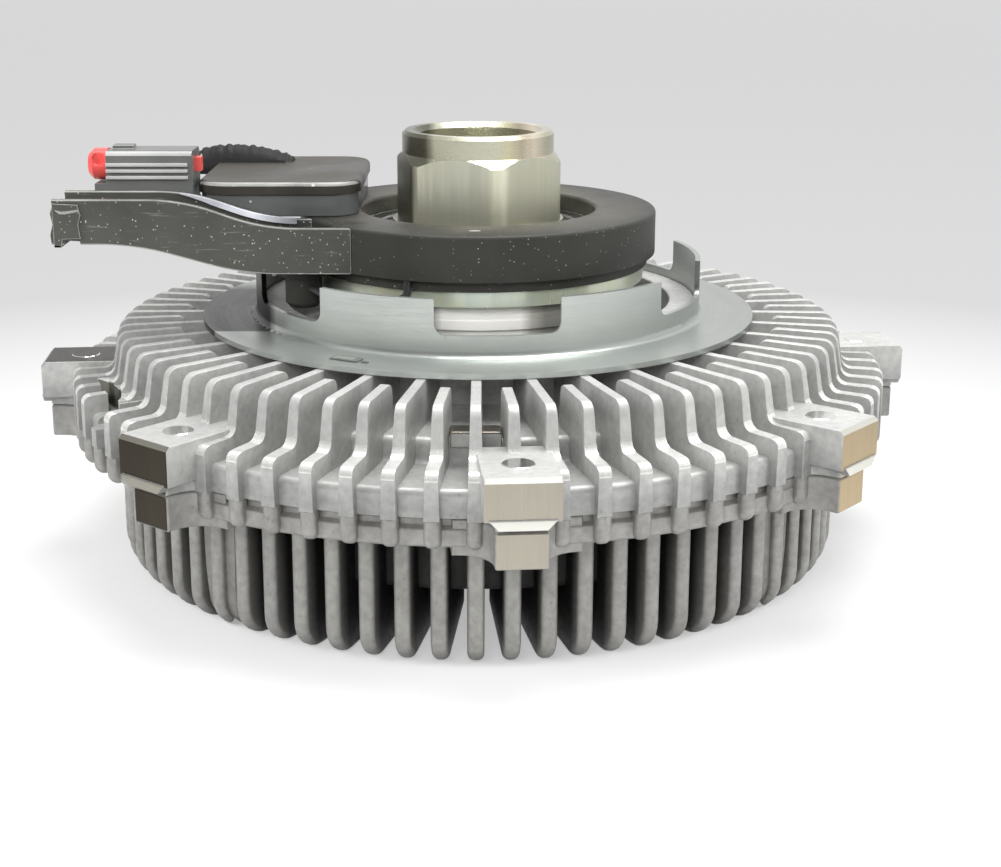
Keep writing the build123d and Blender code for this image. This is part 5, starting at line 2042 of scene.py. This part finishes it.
@dataclass
class JunctionBox:
    """Box on the ring, and its lid with the taped gland."""

    edge: float = 0.4
    lid_edge: float = 0.35
    edge_highlight_w: float = 0.3
    lid_top_z: float = 89.35
    lid_left_x: float = -64.4
    gland_left_x: float = -70.6
    gland_right_x: float = -46.0
    gland_cuts: int = 30
    gland_least_l: float = 5.0
    gland_rises: tuple[Pair, ...] = (
        (0.0, 0.9),
        (0.2, 1.35),
        (0.4, 1.45),
        (0.62, 1.3),
        (0.8, 0.95),
        (1.0, 0.4),
    )
    tape_waves: tuple[Triple, ...] = ((0.07, 3.1, 0.0), (0.05, 7.3, 1.0))

    def rise(self, along_x: float) -> float:
        """How far the taped gland stands out against the plain one.

        Args:
            along_x: Place along the gland.

        Returns:
            The share of the plain gland's height.
        """
        share = (along_x - self.gland_left_x) / (self.gland_right_x - self.gland_left_x)
        share = min(max(share, 0.0), 1.0)
        rise = 0.0
        for (start, low), (end, high) in zip(self.gland_rises, self.gland_rises[1:]):
            if start <= share <= end:
                rise = low + (high - low) * (share - start) / (end - start)
        return rise + sum(
            height * math.sin(along_x * pitch + shift) for height, pitch, shift in self.tape_waves
        )

    def wrap(self, lid: Shape) -> None:
        """Turns the gland's smooth back into tape wound round the harness.

        Args:
            lid: The lid's shape, which is changed.
        """
        along = [
            e
            for e in lid.edges
            if min(v.co.z for v in e.verts) > self.lid_top_z + TOUCH
            and abs(e.verts[0].co.x - e.verts[1].co.x) > self.gland_least_l
        ]
        bmesh.ops.subdivide_edges(lid, edges=along, cuts=self.gland_cuts, use_grid_fill=True)
        for vert in lid.verts:
            above = vert.co.z - self.lid_top_z
            if above > TOUCH:
                vert.co.z = self.lid_top_z + above * self.rise(vert.co.x)

    def dimmed(self, face: bmesh.types.BMFace) -> bool:
        """Tells whether a face lies off the painted highlight along the lid's front edge."""
        return face.normal.y > -0.3 or abs(face.normal.z) < 0.3

    def taped(self, face: bmesh.types.BMFace) -> bool:
        """Tells whether a face belongs to the taped gland."""
        middle = face.calc_center_median()
        return middle.z > self.lid_top_z + TOUCH or middle.x < self.lid_left_x - TOUCH

    def build(self) -> None:
        """Builds the box and the lid."""
        dress_copy("box_shell", "connector_box", self.edge, BOX_PLASTIC)
        lid = merged_copy("box_lid", self.lid_edge)
        # Narrow faces take the pale edge finish, and all but the lid's front edge lose it again: a
        # painted highlight
        mark_strips(lid, self.edge_highlight_w, Trim.SECOND)
        self.wrap(lid)
        mark(lid, Trim.PLAIN, self.dimmed)
        mark(lid, Trim.TAPE, self.taped)
        finishes = [LID_PLASTIC, WORN_AND_HIGHLIGHTED_EDGE, LOOM]
        make_piece("box_cap", lid, Body.STATOR, finishes, ("box_lid",))


@dataclass
class Connector:
    """Connector with its ribs and its sliding lock."""

    edge: float = 0.25
    cable_edge: float = 0.1
    lock_edge: float = 0.35
    front_y: float = -15.4
    rib_out: float = 0.2
    shoulder_z: float = 95.0
    pocket: Triple = (-87.5, -13.7, 94.3)
    pocket_r: float = 1.9
    pocket_floor_r: float = 1.33
    pocket_depth: float = 1.1

    def worn_and_highlighted(self, face: bmesh.types.BMFace) -> bool:
        """Tells whether a face is worn bright and carries a painted highlight.

        Args:
            face: A face of the connector's body.

        Returns:
            True on the ribs and on the sloping shoulder above them.
        """
        middle = face.calc_center_median()
        slope = 0.25 < face.normal.z < 0.9 and face.normal.y < -0.3
        return middle.y < self.front_y - self.rib_out or (slope and middle.z > self.shoulder_z)

    def lock(self) -> Shape:
        """The red slide, with the hollow in its head for a fingertip.

        Returns:
            The slide.
        """
        tool = bmesh.new()
        bmesh.ops.create_cone(
            tool,
            cap_ends=True,
            segments=32,
            radius1=self.pocket_r,
            radius2=self.pocket_floor_r,
            depth=2 * self.pocket_depth,
        )
        tool.transform(Matrix.Translation(self.pocket) @ Matrix.Rotation(-math.pi / 2, 4, "X"))
        slide = carved(merged_copy("connector_lock", self.lock_edge, 3), tool)
        tool.free()
        return slide

    def build(self) -> None:
        """Builds the body, the pigtail and the lock."""
        shell = merged_copy("connector_body", self.edge)
        mark(shell, Trim.SECOND, self.worn_and_highlighted)
        finishes = [CONNECTOR_PLASTIC, RIB_WORN_AND_HIGHLIGHTED]
        make_piece(
            "connector_shell", shell, Body.STATOR, finishes, ("connector_body",)
        )
        dress_copy("pigtail_cable", "pigtail", self.cable_edge, LOOM, 1, SHARP)
        make_piece(
            "lock_slider", self.lock(), Body.LOCK, [LOCK_PLASTIC], ("connector_lock",)
        )


class CarriedNodes:
    """CAD nodes that are shown as they are, with a finish."""

    def dress(self, nodes: dict[str, bpy.types.Object]) -> None:
        """Gives each of them its finish.

        Args:
            nodes: The frame's CAD nodes by name.
        """
        for finish, names in CARRIED.items():
            for name in names:
                mesh = nodes[name].data
                mesh.materials.clear()
                mesh.materials.append(finish.material())
                LOG.info("%s: finish %s", name, finish.name)


@dataclass(frozen=True)
class SoftBox:
    """A soft lamp by its place, width and height in metres and its power in watts."""

    name: str
    place: Triple
    size: Pair
    power: float
    mirrored: bool = False

    def build(self, aim: Vector) -> None:
        """Hangs the lamp.

        Args:
            aim: The point that it faces.
        """
        data = bpy.data.lights.new(self.name, "AREA")
        data.shape = "RECTANGLE"
        data.size, data.size_y = self.size
        data.energy = self.power
        lamp = new_object(self.name, data)
        lamp.location = self.place
        lamp.visible_glossy = self.mirrored
        lamp.rotation_euler = (aim - Vector(self.place)).to_track_quat("-Z", "Y").to_euler()


@dataclass
class Studio:
    """Pale floor, soft lamps and the camera of the photograph, in metres."""

    near_tone: float = 0.45
    far_tone: float = 0.05
    near_glow: float = 0.42
    far_glow: float = 0.60
    pool_y: float = -0.1
    fade_from: float = 0.16
    fade_to: float = 0.41
    floor_r: float = 6.0
    sky_seen: float = 0.42
    sky_lean: Triple = (0.22, 0.45, 0.2)
    sky_bounds: Pair = (0.12, 1.0)
    sky_light: float = 0.38
    frame_w: float = 1001.0
    frame_h: float = 867.0
    focal_px: float = 1704.98
    centre_px: Pair = (478.0, 362.58)
    tilt: float = 0.25
    distance: float = 0.40533
    height: float = 0.146
    sensor: float = 36.0
    aim: Triple = (0.0, 0.0, 0.05)
    lamps: tuple[SoftBox, ...] = (
        SoftBox("top_box", (0.1, 0.1, 0.85), (0.6, 0.5), 7.0, mirrored=True),
        SoftBox("front_box", (-0.15, -0.9, 0.6), (0.6, 0.4), 6.0),
        SoftBox("right_box", (0.8, -0.3, 0.4), (0.3, 0.7), 6.0),
        SoftBox("left_box", (-0.8, -0.3, 0.45), (0.3, 0.6), 6.0),
    )

    def camera(self) -> None:
        """Places the camera at the photograph's viewpoint."""
        data = bpy.data.cameras.new("photo_camera")
        data.sensor_width = self.sensor
        data.lens = self.focal_px * self.sensor / self.frame_w
        data.shift_x = (self.frame_w / 2 - self.centre_px[0]) / self.frame_w
        data.shift_y = -(self.frame_h / 2 - self.centre_px[1]) / self.frame_w
        data.clip_start, data.clip_end = 0.01, 30
        camera = new_object("photo_camera", data)
        camera.location = (0, -self.distance, self.height)
        camera.rotation_euler = (math.pi / 2 - self.tilt, 0, 0)
        bpy.context.scene.camera = camera

    def seen(self, graph: Graph) -> Socket:
        """Tells apart what is looked at from what only lights.

        Args:
            graph: The graph that asks.

        Returns:
            1 for rays from the camera, from a mirror or through glass, otherwise 0.
        """
        path = graph.add("ShaderNodeLightPath").outputs
        mirrored = graph.calc("MAXIMUM", path["Is Glossy Ray"], path["Is Transmission Ray"])
        return graph.calc("MAXIMUM", path["Is Camera Ray"], mirrored)

    def floor(self) -> None:
        """Lays a wide floor."""
        bm = bmesh.new()
        bmesh.ops.create_circle(bm, cap_ends=True, radius=self.floor_r, segments=96)
        floor = shape_object("studio_floor", bm)
        bm.free()
        material = bpy.data.materials.new("pale_floor")
        material.use_nodes = True
        graph = Graph(material.node_tree)
        place = graph.add("ShaderNodeTexCoord").outputs["Object"]
        place = graph.add("ShaderNodeVectorMath", {0: place, 1: (0, -self.pool_y, 0)}).outputs[0]
        reach = graph.group(Effect.POLAR, {"Vector": place}).outputs["Radius"]
        tone = graph.remap(reach, self.fade_from, self.fade_to, self.near_tone, self.far_tone)
        glow = graph.remap(reach, self.fade_from, self.fade_to, self.near_glow, self.far_glow)
        shader = graph.add(
            "ShaderNodeBsdfPrincipled",
            {
                "Base Color": graph.grey(tone),
                "Roughness": 0.7,
                "Specular IOR Level": 0.2,
                "Emission Color": (1, 1, 1, 1),
                "Emission Strength": graph.calc("MULTIPLY", self.seen(graph), glow),
            },
        )
        graph.add("ShaderNodeOutputMaterial", {"Surface": shader.outputs[0]})
        floor.data.materials.append(material)

    def world(self) -> None:
        """Sets a pale surround, brighter overhead and behind the object than beside it."""
        world = bpy.data.worlds.new("studio_world")
        bpy.context.scene.world = world
        world.use_nodes = True
        graph = Graph(world.node_tree)
        way = graph.axes(graph.add("ShaderNodeTexCoord").outputs["Object"])
        tone = self.sky_seen
        for part, lean in zip(way, self.sky_lean):
            tone = graph.calc("MULTIPLY_ADD", part, lean, tone)
        least, most = self.sky_bounds
        tone = graph.calc("MINIMUM", graph.calc("MAXIMUM", tone, least), most)
        seen = self.seen(graph)
        strength = graph.calc("MULTIPLY", graph.calc("SUBTRACT", 1.0, seen), self.sky_light)
        strength = graph.calc("MULTIPLY_ADD", seen, tone, strength)
        back = graph.add("ShaderNodeBackground", {"Color": (1, 1, 1, 1), "Strength": strength})
        graph.add("ShaderNodeOutputWorld", {"Surface": back.outputs[0]})

    def build(self) -> None:
        """Builds the whole studio."""
        self.camera()
        self.floor()
        self.world()
        for lamp in self.lamps:
            lamp.build(Vector(self.aim))
        bpy.context.scene.view_settings.view_transform = "Standard"


def main() -> None:
    """Builds and dresses the whole object."""
    logging.basicConfig(level=logging.INFO, format="%(message)s")
    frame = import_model()
    EffectLibrary().build()
    rear = RearCasting()
    pieces = (rear, FrontCasting(rear), SpeedWheel(), Hub(), CoilRing(), TetherArm(), JunctionBox())
    for piece in (*pieces, Connector()):
        piece.build()
    CarriedNodes().dress(frame["nodes"])
    Studio().build()


if __name__ == "__main__":
    main()
